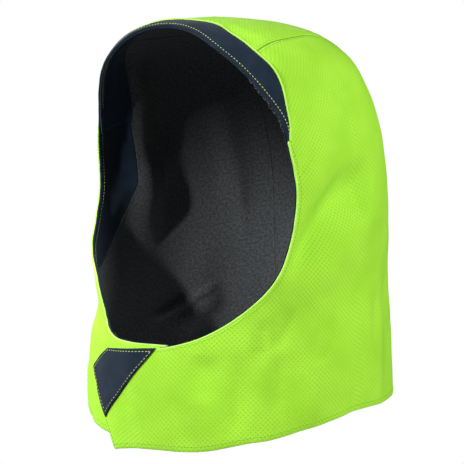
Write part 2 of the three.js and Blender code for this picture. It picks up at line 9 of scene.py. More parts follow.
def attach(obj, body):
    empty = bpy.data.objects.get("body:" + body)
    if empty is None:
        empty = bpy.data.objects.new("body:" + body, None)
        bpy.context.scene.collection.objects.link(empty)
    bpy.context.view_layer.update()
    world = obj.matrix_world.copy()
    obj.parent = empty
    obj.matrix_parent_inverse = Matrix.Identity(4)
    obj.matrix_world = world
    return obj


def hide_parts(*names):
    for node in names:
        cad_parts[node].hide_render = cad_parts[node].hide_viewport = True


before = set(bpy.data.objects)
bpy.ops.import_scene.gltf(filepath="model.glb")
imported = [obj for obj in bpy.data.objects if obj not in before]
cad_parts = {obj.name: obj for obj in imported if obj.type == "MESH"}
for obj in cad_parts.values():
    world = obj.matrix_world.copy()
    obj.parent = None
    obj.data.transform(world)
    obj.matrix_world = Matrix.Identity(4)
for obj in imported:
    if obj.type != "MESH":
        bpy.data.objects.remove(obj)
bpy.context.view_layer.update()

# Camera: a long lens ahead of the hood on the wearer's left, a little above the brim,
# so that the open face, the flap at the throat and the left side panel all show.
camera_data = bpy.data.cameras.new("camera")
camera_data.lens = 150.8
camera_data.sensor_width = 36
camera = bpy.data.objects.new("camera", camera_data)
camera.location = (1.0854, -1.3612, 0.0239)
aim = Vector((-0.0146, 0.0466, -0.1955)) - camera.location
camera.rotation_euler = aim.to_track_quat("-Z", "Y").to_euler()
bpy.context.collection.objects.link(camera)
bpy.context.scene.camera = camera


# Side panels: the two halves of the shell, cut from fluorescent yellow-green knit
# with a woven-in dot. Each runs from the face opening round the ear to the crown
# gusset, and the left one carries the throat flap. Sewn, with turned edges.

# Sizes in millimetres, how many of them a metre has, and an angle in degrees
METRE = 1000.0
HOOD_HEIGHT, HOOD_WIDTH, HOOD_DEPTH = 380.0, 268.0, 292.0
HALF_WIDTH = HOOD_WIDTH / 2
HEM_RISE = 34.0
FACE_WIDTH, FACE_HEIGHT, FACE_DROP = 228.0, 280.0, 6.0
BRIM_DEPTH, FACING_WIDTH, RIGHT_FACING_WIDTH, GUSSET_WIDTH = 27.0, 48.0, 41.0, 166.0
FLAP_REACH, UNDERLAP_REACH, UNDERLAP_RISE, TUCK_RUN = 80.0, 40.0, 3.0, 34.0
SHELL, LINING, LAYER_GAP = 1.6, 1.4, 0.5
LINING_INSET = SHELL + LAYER_GAP
CROWN_TOP = LINING_INSET + LINING
UNDERLAP_TURN, UNDERLAP_FADE = 70.0, 40.0
TUCK_DEPTH, TUCK_ABOVE = 5.35, 46.0
FLAP_BOW, BOW_SHARE = np.array([1.6, 0.0, 0.8]), 1.8
FLAP_TOP = FACE_DROP + FACE_HEIGHT
COLLAR_HEIGHT = HOOD_HEIGHT - FLAP_TOP
HEART_BEHIND, HEART_BELOW = 0.17 * HOOD_DEPTH, 0.27 * HOOD_HEIGHT

# Level sections of the shell: drop (of the height), half (of the half width), front,
# back and widest (of the depth), power of the front and of the back of the section
SECTIONS = np.array([
    [0.0, 0.0, 0.0, 0.0, 0.0, 2.0, 2.0],
    [0.005, 0.21, -0.116, 0.137, 0.021, 2.0, 2.0],
    [0.018, 0.4, -0.226, 0.267, 0.048, 2.1, 2.0],
    [0.047, 0.59, -0.271, 0.384, 0.086, 2.4, 2.05],
    [0.1, 0.74, -0.284, 0.476, 0.127, 2.8, 2.1],
    [0.176, 0.82, -0.291, 0.545, 0.164, 3.1, 2.1],
    [0.271, 0.873, -0.295, 0.599, 0.188, 3.3, 2.1],
    [0.387, 0.896, -0.298, 0.634, 0.199, 3.4, 2.1],
    [0.513, 0.903, -0.301, 0.644, 0.199, 3.1, 2.1],
    [0.639, 0.918, -0.312, 0.647, 0.185, 2.45, 2.1],
    [0.766, 0.963, -0.329, 0.651, 0.164, 2.15, 2.1],
    [0.892, 0.993, -0.342, 0.651, 0.151, 2.1, 2.1],
    [1.018, 1.0, -0.349, 0.651, 0.144, 2.1, 2.1],
    [1.14, 1.0, -0.35, 0.65, 0.14, 2.1, 2.1],
])
# Edge of the face opening from the brim's middle down to the throat: across (of half
# the face width), behind (of the depth), below (of the face height)
FACE_EDGE = [
    [0.0, -0.222, 0.0], [0.24, -0.225, 0.014], [0.465, -0.229, 0.061],
    [0.705, -0.198, 0.143], [0.816, -0.171, 0.2], [0.921, -0.127, 0.286],
    [0.956, -0.11, 0.357], [0.99, -0.092, 0.471], [1.0, -0.089, 0.546],
    [0.982, -0.11, 0.682], [0.904, -0.151, 0.786],
]
FACE_EDGE_LEFT = FACE_EDGE + [
    [0.746, -0.216, 0.875], [0.5, -0.284, 0.95], [0.193, -0.322, 0.993],
    [0.0, -0.326, 1.003],
]
FACE_EDGE_RIGHT = FACE_EDGE[:9] + [
    [0.95, -0.132, 0.665], [0.79, -0.203, 0.755], [0.67, -0.243, 0.835],
    [0.635, -0.251, 0.905], [0.585, -0.266, 0.96], [0.43, -0.297, 0.99],
    [0.19, -0.322, 0.994], [-0.06, -0.326, 0.99],
    [-2 * UNDERLAP_REACH / FACE_WIDTH, -0.31, 0.987],
]
# Places along the face edge, counted in its rows, and tables of a place and the share
# of the full width that the brim or the facing has there
BRIM_END, FACING_TOP, CHEEK = 6.0, 4.2, 10.5
LEFT_END, LEFT_TURN, RIGHT_END, RIGHT_TURN = 13.4, 0.6, 17.0, 0.3
BRIM_TAPER = [[0, 1], [1, 0.96], [2, 0.92], [2.8, 0.86], [3.6, 0.86], [4.2, 0.74],
              [4.9, 0.33], [5.4, 0.18], [6, 0.05]]
FACING_TAPER = [[4.2, 0.55], [5, 0.95], [6, 1.05], [7.7, 1.1], [9, 0.82], [10, 0.5],
                [11, 0.3], [12, 0.22], [13, 0.2], [17, 0.2]]
# Seam of the crown gusset from the brim to the hem: across (of half its width), behind
# (of the depth), below (of the height)
GUSSET_SEAM = np.array([
    [0.945, -0.051, 0.055], [0.935, 0.021, 0.048], [0.91, 0.089, 0.045],
    [0.85, 0.202, 0.045], [0.77, 0.33, 0.065], [0.75, 0.42, 0.11],
    [0.745, 0.49, 0.18], [0.735, 0.546, 0.271], [0.723, 0.582, 0.387],
    [0.715, 0.595, 0.52], [0.71, 0.597, 0.639], [0.69, 0.605, 0.8],
    [0.68, 0.608, 0.96],
])
FLAT_DROP, SEAM_CLEAR = 0.1, 0.03
# Rise of the hem (of HEM_RISE) by the turn in degrees from the middle of the front
HEM = [[-16, 0], [-9, 0.1], [0, 0.19], [21, 0.24], [29, 0.32], [40, 0.47], [51, 0.56],
       [61, 0.71], [75, 0.88], [89, 1], [108, 0.94], [150, 0.88]]
# Corners of the throat flap: across (of its reach) and down (of the collar)
FLAP_CORNERS = {"bottom": (-0.425, 1.0), "left": (-1.02, 0.305), "top": (-0.62, 0.066)}

# Folds of the shell: side, turn in degrees and drop (of the height) at the start and at
# the end, half width and height (of the hood's width)
FOLDS = [
    [1, 98, 0.33, 64, 0.56, 0.07, -0.016], [1, 108, 0.42, 78, 0.62, 0.07, 0.01],
    [1, 84, 0.26, 70, 0.4, 0.055, 0.01], [1, 80, 0.7, 66, 0.94, 0.07, 0.01],
    [1, 120, 0.58, 112, 0.92, 0.08, -0.014], [1, 24, 0.82, 34, 0.99, 0.06, 0.008],
    [-1, 102, 0.34, 74, 0.5, 0.07, -0.016], [-1, 72, 0.74, 84, 0.94, 0.07, 0.012],
    [-1, 44, 0.84, 58, 0.98, 0.07, -0.008], [-1, 122, 0.56, 108, 0.9, 0.08, -0.014],
    [1, 92, 0.34, 72, 0.47, 0.02, -0.007], [1, 104, 0.36, 80, 0.55, 0.02, 0.004],
    [1, 74, 0.42, 56, 0.6, 0.024, -0.004], [1, 60, 0.62, 78, 0.74, 0.026, -0.004],
    [1, 52, 0.74, 60, 0.93, 0.024, -0.004], [1, 92, 0.72, 84, 0.95, 0.026, -0.005],
    [1, 36, 0.83, 46, 0.98, 0.022, -0.004], [1, 12, 0.84, 20, 0.98, 0.024, -0.003],
    [1, 108, 0.7, 102, 0.94, 0.024, 0.004], [1, 70, 0.2, 62, 0.34, 0.024, -0.003],
    [-1, 88, 0.38, 70, 0.5, 0.022, -0.005], [-1, 60, 0.7, 70, 0.9, 0.026, -0.004],
    [-1, 92, 0.74, 84, 0.95, 0.026, -0.005], [-1, 30, 0.84, 40, 0.98, 0.022, -0.004],
    [-1, 108, 0.7, 102, 0.94, 0.024, 0.004], [-1, 50, 0.7, 54, 0.97, 0.08, 0.024],
    [1, 96, 0.35, 60, 0.59, 0.034, -0.027], [1, 100, 0.42, 70, 0.64, 0.042, 0.014],
    [1, 96, 0.135, 77, 0.195, 0.014, -0.006], [1, 59, 0.65, 52, 0.75, 0.03, -0.01],
    [1, 79, 0.69, 68, 0.78, 0.03, -0.009], [1, 103, 0.65, 100, 0.77, 0.025, -0.009],
    [1, 25, 0.76, 24, 0.86, 0.028, -0.009], [1, 40, 0.76, 37, 0.93, 0.028, -0.009],
    [1, 47, 0.68, 47, 0.775, 0.022, -0.007], [1, 53, 0.76, 52, 0.9, 0.024, -0.008],
    [1, 50, 0.02, 62, 0.055, 0.02, -0.008], [1, 74, 0.3, 66, 0.36, 0.02, -0.006],
]

# Fineness of the tables and searches, and the small steps that slopes are taken over
LEVEL_STEPS, WALL_HALVINGS, SEAM_HALVINGS, SEAM_SAMPLES = 6500, 34, 24, 2001
NORMAL_STEP, MEASURE_LIMIT, PLACE_STEP = 0.25, 4.0, 0.05
LEVELS = np.linspace(0, len(SECTIONS) - 1, LEVEL_STEPS + 1)


def section_rows(level):
    """The section table between its rows."""
    rows = np.vstack([2 * SECTIONS[0] - SECTIONS[1], SECTIONS,
                      2 * SECTIONS[-1] - SECTIONS[-2]])
    row = np.clip(np.floor(level).astype(int), 0, len(SECTIONS) - 2)
    f = (level - row)[..., None]
    a, b, c, d = (rows[row + k] for k in range(4))
    return 0.5 * (2 * b + (c - a) * f + (2 * a - 5 * b + 4 * c - d) * f ** 2
                  + (3 * b - a - 3 * c + d) * f ** 3)


DENSE = section_rows(LEVELS)


def section_at(z):
    """Half, front, back and widest in millimetres and both powers at a height."""
    drop = (CROWN_TOP - z) / HOOD_HEIGHT
    half, front, back, widest, front_power, back_power = (
        np.interp(drop, DENSE[:, 0], DENSE[:, k]) for k in range(1, 7))
    return (np.maximum(half * HALF_WIDTH, 1e-4), front * HOOD_DEPTH, back * HOOD_DEPTH,
            widest * HOOD_DEPTH, front_power, back_power)


def level_at(z):
    return np.interp((CROWN_TOP - z) / HOOD_HEIGHT, DENSE[:, 0], LEVELS)


def height_of(level):
    return CROWN_TOP - HOOD_HEIGHT * np.interp(level, LEVELS, DENSE[:, 0])


def ahead_or_behind(point):
    half, front, back, widest, front_power, back_power = section_at(point[..., 2])
    ahead = point[..., 1] < widest
    power = np.where(ahead, front_power, back_power)
    reach = np.maximum(np.where(ahead, widest - front, back - widest), 1e-4)
    return half, widest, ahead, power, reach


def from_turn(turn, level):
    """Wall point at a turn of the superellipse, from the middle of the front."""
    z = height_of(level)
    half, front, back, widest, front_power, back_power = section_at(z)
    c, s = np.cos(turn), np.sin(turn)
    power = 2 / np.where(c > 0, front_power, back_power)
    reach = np.where(c > 0, widest - front, back - widest)
    return np.stack([half * np.sign(s) * np.abs(s) ** power,
                     widest - np.sign(c) * reach * np.abs(c) ** power, z], -1)


def turn_of(point):
    half, widest, ahead, power, reach = ahead_or_behind(point)
    u = np.minimum(1, np.abs(point[..., 1] - widest) / reach) ** (power / 2)
    v = np.minimum(1, np.abs(point[..., 0]) / half) ** (power / 2)
    turn = np.arctan2(v, np.where(ahead, u, -u))
    return np.where(point[..., 0] < 0, -turn, turn)


def from_bearing(bearing, level):
    """Wall point in a true direction from the section's middle."""
    z = height_of(level)
    half, front, back, widest, front_power, back_power = section_at(z)
    c, s = np.cos(bearing), np.sin(bearing)
    power = np.where(c > 0, front_power, back_power)
    reach = np.where(c > 0, widest - front, back - widest)
    out = (np.abs(s / half) ** power + np.abs(c / reach) ** power) ** (-1 / power)
    return np.stack([out * s, widest - out * c, z], -1)


def bearing_of(point):
    widest = section_at(point[..., 2])[3]
    return np.arctan2(point[..., 0], widest - point[..., 1])


def wall_measure(point):
    """Below 1 inside the wall, above 1 outside it."""
    half, widest, _, power, reach = ahead_or_behind(point)
    return ((np.abs(point[..., 0]) / half) ** power
            + (np.abs(point[..., 1] - widest) / reach) ** power)


def unit(vector):
    return vector / np.maximum(np.linalg.norm(vector, axis=-1, keepdims=True), 1e-9)


def on_wall(point):
    """The wall point straight out from the hood's middle, or from its axis lower down."""
    point = np.asarray(point, float)
    start = np.zeros_like(point)
    start[..., 1] = HEART_BEHIND
    start[..., 2] = np.minimum(point[..., 2], CROWN_TOP - HEART_BELOW)
    way = unit(point - start)
    inside = np.zeros(point.shape[:-1])
    outside = np.full(point.shape[:-1], 2 * HOOD_DEPTH)
    for _ in range(WALL_HALVINGS):
        middle = (inside + outside) / 2
        probe = start + way * middle[..., None]
        within = (probe[..., 2] < CROWN_TOP) & (wall_measure(probe) < 1)
        inside = np.where(within, middle, inside)
        outside = np.where(within, outside, middle)
    return start + way * inside[..., None]


def wall_normal(point):
    step = NORMAL_STEP * np.eye(3)
    slope = [np.minimum(MEASURE_LIMIT, wall_measure(point + axis))
             - np.minimum(MEASURE_LIMIT, wall_measure(point - axis)) for axis in step]
    return unit(np.stack(slope, -1))


def smooth(share):
    return share * share * (3 - 2 * share)


def table_value(table, place):
    """Smooth value of a two-column table."""
    at, value = np.array(table, float).T
    slope = np.concatenate([[(value[1] - value[0]) / (at[1] - at[0])],
                            (value[2:] - value[:-2]) / (at[2:] - at[:-2]),
                            [(value[-1] - value[-2]) / (at[-1] - at[-2])]])
    k = np.clip(np.searchsorted(at, place), 1, len(at) - 1)
    run = at[k] - at[k - 1]
    share = np.clip((place - at[k - 1]) / run, 0, 1)
    bend = share * (1 - share) * run * (slope[k - 1] * (1 - share) - slope[k] * share)
    return value[k - 1] + (value[k] - value[k - 1]) * smooth(share) + bend


def curve_through(points):
    """A smooth curve through points, evaluated by their count."""
    points = np.asarray(points, float)
    ends = [2 * points[0] - points[1], *points, 2 * points[-1] - points[-2]]
    rows = np.array(ends)

    def at(place):
        place = np.asarray(place, float)
        k = np.clip(np.floor(place).astype(int), 0, len(points) - 2)
        f = (place - k)[..., None]
        p0, p1, p2, p3 = (rows[k + n] for n in range(4))
        d0, d1, d2 = (np.maximum(np.linalg.norm(b - a, axis=-1, keepdims=True), 1e-6) ** 0.5
                      for a, b in ((p0, p1), (p1, p2), (p2, p3)))
        t1 = ((p1 - p0) / d0 - (p2 - p0) / (d0 + d1) + (p2 - p1) / d1) * d1
        t2 = ((p2 - p1) / d1 - (p3 - p1) / (d1 + d2) + (p3 - p2) / d2) * d1
        return (p1 + t1 * f + (-3 * p1 + 3 * p2 - 2 * t1 - t2) * f ** 2
                + (2 * p1 - 2 * p2 + t1 + t2) * f ** 3)
    return at


def face_edge(table, side):
    rows = np.array([[side * across * FACE_WIDTH / 2, behind * HOOD_DEPTH,
                      CROWN_TOP - FACE_DROP - below * FACE_HEIGHT]
                     for across, behind, below in table])
    beyond = rows[1] * (-1, 1, 1)
    curve = curve_through([beyond, *rows])
    return lambda place: on_wall(curve(np.asarray(place, float) + 1))


edges = {1: face_edge(FACE_EDGE_LEFT, 1), -1: face_edge(FACE_EDGE_RIGHT, -1)}


def behind_edge(side, place, distance):
    """Wall point at a distance behind the face edge."""
    place = np.asarray(place, float)
    here = edges[side](place)
    along = here - edges[side](np.maximum(place - PLACE_STEP, 0))
    along = np.where((place < PLACE_STEP)[..., None], np.array([side, 0, 0]), along)
    away = unit(np.cross(along, wall_normal(here)))
    return on_wall(here - side * away * np.asarray(distance)[..., None])


def brim_seam(side, place):
    return behind_edge(side, place, BRIM_DEPTH * table_value(BRIM_TAPER, place))


def facing_seam(side, place):
    width = FACING_WIDTH if side > 0 else RIGHT_FACING_WIDTH
    return behind_edge(side, place, width * table_value(FACING_TAPER, place))


def hem_level(turn, side):
    degrees = side * np.degrees(turn)
    rise = HEM_RISE * table_value(HEM, np.maximum(0, degrees) if side < 0 else degrees)
    fade = smooth(np.clip((UNDERLAP_TURN - degrees) / UNDERLAP_FADE, 0, 1))
    lift = UNDERLAP_RISE * fade if side < 0 else 0
    return level_at(CROWN_TOP - HOOD_HEIGHT + rise + lift)


def hem_point(point, side):
    turn = turn_of(point)
    return from_turn(turn, hem_level(turn, side))


def front_point(corner):
    x = corner[0] * FLAP_REACH
    z = CROWN_TOP - FLAP_TOP - corner[1] * COLLAR_HEIGHT
    half, front, _, widest, power, _ = section_at(np.float64(z))
    share = min(1, abs(x) / half) ** power
    return np.array([x, widest - (widest - front) * (1 - share) ** (1 / power), z])


def straight(a, b):
    return lambda share: on_wall(a + (b - a) * np.asarray(share)[..., None])


def bowed(a, b):
    """A run that bows back a little in its lower half."""
    return lambda share: straight(a, b)(share) + FLAP_BOW * (
        np.sin(math.pi * np.minimum(1, BOW_SHARE * np.asarray(share))) ** 2)[..., None]


def places(at, start, end):
    return lambda share: at(start + (end - start) * np.asarray(share))


def joined(rows, marks, parts):
    """Points at rows, where each part runs from one mark to the next."""
    out = np.empty((len(rows), 3))
    for low, high, part in zip(marks, marks[1:], parts):
        inside = (rows >= low) & (rows <= high)
        out[inside] = part((rows[inside] - low) / (high - low))
    return out


# Where the brim's seam meets the gusset's seam
flat_rows = GUSSET_SEAM[GUSSET_SEAM[:, 2] < FLAT_DROP]
low, high = 0.0, BRIM_END
for _ in range(SEAM_HALVINGS):
    middle = (low + high) / 2
    point = brim_seam(1, np.array(middle))
    half = np.interp(point[1] / HOOD_DEPTH, flat_rows[:, 1], flat_rows[:, 0])
    if point[1] / HOOD_DEPTH < flat_rows[0, 1]:
        slope = (flat_rows[1, 0] - flat_rows[0, 0]) / (flat_rows[1, 1] - flat_rows[0, 1])
        half = flat_rows[0, 0] + slope * (point[1] / HOOD_DEPTH - flat_rows[0, 1])
    low, high = (middle, high) if point[0] < half * GUSSET_WIDTH / 2 else (low, middle)
BRIM_CROSSING = (low + high) / 2

gusset_front = brim_seam(1, np.array(BRIM_CROSSING))
seam_rows = on_wall(np.stack([
    GUSSET_SEAM[:, 0] * GUSSET_WIDTH / 2, GUSSET_SEAM[:, 1] * HOOD_DEPTH,
    CROWN_TOP - GUSSET_SEAM[:, 2] * HOOD_HEIGHT], -1))
seam_rows = seam_rows[seam_rows[:, 1] > gusset_front[1] + SEAM_CLEAR * HOOD_DEPTH]
seam_rows[-1] = hem_point(seam_rows[-1], 1)
seam_curve = curve_through([gusset_front, *seam_rows][::-1])
seam_dense = seam_curve(np.linspace(0, len(seam_rows), SEAM_SAMPLES))
seam_length = np.concatenate(
    [[0], np.cumsum(np.linalg.norm(np.diff(seam_dense, axis=0), axis=1))])


def on_seam(share):
    at = np.asarray(share) * seam_length[-1]
    return on_wall(np.stack([np.interp(at, seam_length, seam_dense[:, k])
                             for k in range(3)], -1))


def mirrored(points):
    return points * (-1, 1, 1)


def across_middle(points):
    """A run up to the hood's middle, carried on over it to the other side."""
    return np.concatenate([points, mirrored(points)[::-1][1:]])


# Rows of a side panel from the hem up, and those where one run of its edge gives way
# to the next
ROWS, THROAT_ROWS, CHEEK_ROWS, THROAT_SHARE, CHEEK_SHARE = 30, 9, 15, 0.16, 0.3
LEFT_MARKS = [0, 4, 6, THROAT_ROWS, CHEEK_ROWS, ROWS]
RIGHT_MARKS = [0, 3, CHEEK_ROWS, ROWS]


def gusset_seam(rows):
    return joined(rows, [0, THROAT_ROWS, CHEEK_ROWS, ROWS], [
        places(on_seam, 0, THROAT_SHARE), places(on_seam, THROAT_SHARE, CHEEK_SHARE),
        places(on_seam, CHEEK_SHARE, 1)])


def hem_between(start, end, side):
    begin, finish = turn_of(start), turn_of(end)
    if abs(finish - begin) > math.pi:
        finish += 2 * math.pi
    return places(lambda turn: from_turn(turn, hem_level(turn, side)), begin, finish)


def coons(front, back, low, high, u, v):
    """Wall grid between four runs, front and back upward, low and high from the front."""
    def place(run):
        return np.stack([np.unwrap(bearing_of(run)), level_at(run[..., 2])], -1)
    f, b, l, h = (place(run) for run in (front, back, low, high))
    turns = [2 * math.pi * round((run[0, 0] - f[0, 0]) / (2 * math.pi)) for run in (b, l, h)]
    for run, whole in zip((b, l, h), turns):
        run[:, 0] -= whole
    u, v = u[None, :, None], v[:, None, None]
    at = (f[:, None] * (1 - u) + b[:, None] * u + l[None] * (1 - v) + h[None] * v
          - ((l[0] * (1 - u) + l[-1] * u) * (1 - v) + (h[0] * (1 - u) + h[-1] * u) * v))
    return from_bearing(at[..., 0], at[..., 1])


def close_to_ends(count, offsets):
    """Equal steps from 0 to 1, with closer ones next to both ends."""
    steps = np.linspace(0, 1, count + 1)
    extra = np.array(offsets)
    return np.unique(np.concatenate([steps, extra, 1 - extra]))


flap = {name: front_point(corner) for name, corner in FLAP_CORNERS.items()}
row_steps = close_to_ends(120, [0.0016, 0.004]) * ROWS
margin_steps = close_to_ends(12, [0.02, 0.05])
field_steps = close_to_ends(56, [0.004, 0.01])


def side_grids(side):
    """Margin beside the face edge, as wide as the facing, and the field behind it."""
    end, turn = (LEFT_END, LEFT_TURN) if side > 0 else (RIGHT_END, RIGHT_TURN)
    edge = edges[side]

    def border(place):
        share = (end - place) / (end - BRIM_END)
        moved = place - turn * (1 - share) ** 2 - (BRIM_END - FACING_TOP) * share ** 3
        return facing_seam(side, moved)
    turned = facing_seam(side, np.array(end - turn))
    if side > 0:
        marks = LEFT_MARKS
        throat = [bowed(flap["bottom"], flap["left"]), straight(flap["left"], flap["top"]),
                  straight(flap["top"], edge(end))]
    else:
        marks = RIGHT_MARKS
        throat = [straight(hem_point(edge(end), side), edge(end))]
    rows = row_steps
    front = joined(rows, marks, throat + [places(edge, end, CHEEK), places(edge, CHEEK, BRIM_END)])
    border_marks = [0, marks[-3], CHEEK_ROWS, ROWS]
    middle = joined(rows, border_marks, [
        straight(hem_point(turned, side), turned), places(border, end, CHEEK),
        places(border, CHEEK, BRIM_END)])
    seam = gusset_seam(rows)
    seam = seam if side > 0 else mirrored(seam)
    v = rows / ROWS
    margin_high = brim_seam(side, BRIM_END + (FACING_TOP - BRIM_END) * margin_steps)
    field_high = brim_seam(side, FACING_TOP + (BRIM_CROSSING - FACING_TOP) * field_steps)
    front[-1], middle[-1], seam[-1] = margin_high[0], field_high[0], field_high[-1]
    margin_low = hem_between(front[0], middle[0], side)(margin_steps)
    field_low = hem_between(middle[0], seam[0], side)(field_steps)
    return (coons(front, middle, margin_low, margin_high, margin_steps, v),
            coons(middle, seam, field_low, field_high, field_steps, v))


grids = {side: side_grids(side) for side in (1, -1)}
panels = {side: np.concatenate([margin, field[:, 1:]], axis=1)
          for side, (margin, field) in grids.items()}


# Share of a fold's half length that is at full height, and the share it fades over
FOLD_FULL, FOLD_FADE = 0.46, 0.77


def fold_height(table, point):
    """How far the strokes of a fold table push the wall out at a point."""
    turn = turn_of(point)
    drop = CROWN_TOP - point[..., 2]
    around = np.abs(turn) * HALF_WIDTH
    total = np.zeros(turn.shape)
    for side, turn_a, drop_a, turn_b, drop_b, half_width, height in table:
        a = np.array([math.radians(turn_a) * HALF_WIDTH, drop_a * HOOD_HEIGHT])
        b = np.array([math.radians(turn_b) * HALF_WIDTH, drop_b * HOOD_HEIGHT])
        way = b - a
        length = np.hypot(*way)
        along = ((around - a[0]) * way[0] + (drop - a[1]) * way[1]) / length ** 2
        off = ((around - a[0]) * way[1] - (drop - a[1]) * way[0]) / length
        fade = smooth(np.clip(1 - (np.abs(2 * along - 1) - FOLD_FULL) / FOLD_FADE, 0, 1))
        here = np.where(turn < 0, -1, 1) == side
        bulge = np.exp(-(off / (half_width * HOOD_WIDTH)) ** 2)
        total += here * height * HOOD_WIDTH * fade * bulge
    return total


def tuck(point):
    """How far the wearer's right panel is tucked behind the flap."""
    drop = CROWN_TOP - point[..., 2]
    below = (drop - FLAP_TOP) / COLLAR_HEIGHT
    left, bottom = FLAP_CORNERS["left"], FLAP_CORNERS["bottom"]
    share = np.clip((below - left[1]) / (bottom[1] - left[1]), 0, 1)
    edge = (left[0] + (bottom[0] - left[0]) * share) * FLAP_REACH
    across = np.clip((point[..., 0] - edge) / TUCK_RUN + 1, 0, 1)
    down = np.clip((drop - FLAP_TOP + TUCK_ABOVE) / TUCK_RUN, 0, 1)
    return np.where(point[..., 1] > 0, 0, TUCK_DEPTH * smooth(across) * smooth(down))


# Heights of the collar's drapes, the wide swells and the small ripples, and where the
# drapes begin below the crown and end behind the throat
DRAPE, SWELL, RIPPLE = 0.4, 0.35, 0.22
DRAPE_BELOW, DRAPE_BEHIND, DRAPE_FADE, DRAPE_STEP = 245.0, 60.0, 60.0, 4.8


def ripples(point):
    """Slight unevenness of loose cloth; each divisor is a wave's length in millimetres."""
    x, y, z = np.moveaxis(point, -1, 0)
    collar = (smooth(np.clip((-z - DRAPE_BELOW) / DRAPE_FADE, 0, 1))
              * smooth(np.clip((DRAPE_BEHIND - y) / DRAPE_FADE, 0, 1)))
    drape = np.sin((0.9 * x + 0.75 * y + 0.2 * z) / DRAPE_STEP + 0.8 * np.sin(x / 21 + z / 33))
    swell = np.sin(x / 17 + y / 23 + z / 31 + 1.3) * np.sin(y / 19 - z / 27)
    ripple = np.sin(x / 9 - z / 13 + 0.7) * np.sin(y / 11 + z / 8 + 2.1)
    return DRAPE * collar * drape + SWELL * swell + RIPPLE * ripple


def shell_shape(point):
    return fold_height(FOLDS, point) + ripples(point)


def under_shape(point):
    return shell_shape(point) - tuck(point)


def border_distances(grid):
    """Distance of each grid point from the first and last column and row."""
    across = np.linalg.norm(np.diff(grid, axis=1), axis=2)
    up = np.linalg.norm(np.diff(grid, axis=0), axis=2)
    first = np.pad(np.cumsum(across, axis=1), ((0, 0), (1, 0)))
    low = np.pad(np.cumsum(up, axis=0), ((1, 0), (0, 0)))
    return first, first[:, -1:] - first, low, low[-1:] - low


def turned_in(distance, depth, width):
    """Dip where an edge is turned in or sewn down."""
    return -depth * np.exp(-(distance / width) ** 2)


# Depth and width of the dip at a turned edge, at the gusset's seams and at the brim
EDGE_TURN, SEAM_TURN, BRIM_TURN = (0.5, 1.2), (1.5, 1.1), (0.7, 1.4)
PUCKER_HEIGHT, PUCKER_STEP, PUCKER_REACH = 0.3, 2.1, 9.0


def pucker(along, away):
    """Small gathers that a seam pulls into the cloth beside it."""
    return PUCKER_HEIGHT * np.sin(along / PUCKER_STEP) * np.exp(-away / PUCKER_REACH)


# Net that cloth coordinates are read from: its turns in degrees, its rows and its top
# level, the turn in radians that counts from the other side, and its last cell
UV_FIRST, UV_LAST, UV_MIDDLE, UV_ROWS, UV_TOP = -70, 216, 90, 160, 0.4
UV_WRAP, UV_LAST_CELL = -1.9, 1.001


def panel_uv(grid, side):
    """Cloth coordinates in metres: round the level and up the wall."""
    turn = np.radians(np.arange(UV_FIRST, UV_LAST, 1.0))
    level = np.linspace(UV_TOP, len(SECTIONS) - 1, UV_ROWS)
    net = from_turn(*np.meshgrid(turn, level))
    around = np.pad(np.cumsum(np.linalg.norm(np.diff(net, axis=1), axis=2), axis=1),
                    ((0, 0), (1, 0)))
    middle = UV_MIDDLE - UV_FIRST
    around -= around[:, middle:middle + 1]
    down = np.pad(np.cumsum(np.linalg.norm(np.diff(net, axis=0), axis=2), axis=0),
                  ((1, 0), (0, 0)))
    point_turn = side * turn_of(grid)
    point_turn = np.where(point_turn < UV_WRAP, point_turn + 2 * math.pi, point_turn)
    column = np.clip(np.degrees(point_turn) - UV_FIRST, 0, len(turn) - UV_LAST_CELL)
    row = np.clip((level_at(grid[..., 2]) - level[0]) / (level[1] - level[0]), 0,
                  len(level) - UV_LAST_CELL)
    i, j = column.astype(int), row.astype(int)
    fi, fj = column - i, row - j

    def look(table):
        return ((table[j, i] * (1 - fi) + table[j, i + 1] * fi) * (1 - fj)
                + (table[j + 1, i] * (1 - fi) + table[j + 1, i + 1] * fi) * fj)
    return np.stack([-side * look(around), -look(down)], -1) / METRE


def strip_uv(grid):
    """Cloth coordinates in metres of a strip, from its middle column."""
    middle = grid.shape[1] // 2
    first = border_distances(grid)[0]
    along = np.concatenate(
        [[0], np.cumsum(np.linalg.norm(np.diff(grid[:, middle], axis=0), axis=1))])
    return np.stack([first - first[:, middle:middle + 1],
                     np.broadcast_to(along[:, None], first.shape)], -1) / METRE


def new_piece(name, mesh_maker, material):
    """The object of a finished mesh, fixed to the hood."""
    mesh = bpy.data.meshes.new(name)
    mesh_maker.to_mesh(mesh)
    mesh_maker.free()
    mesh.materials.append(material)
    piece = bpy.data.objects.new(name, mesh)
    bpy.context.collection.objects.link(piece)
    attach(piece, "root")
    return piece


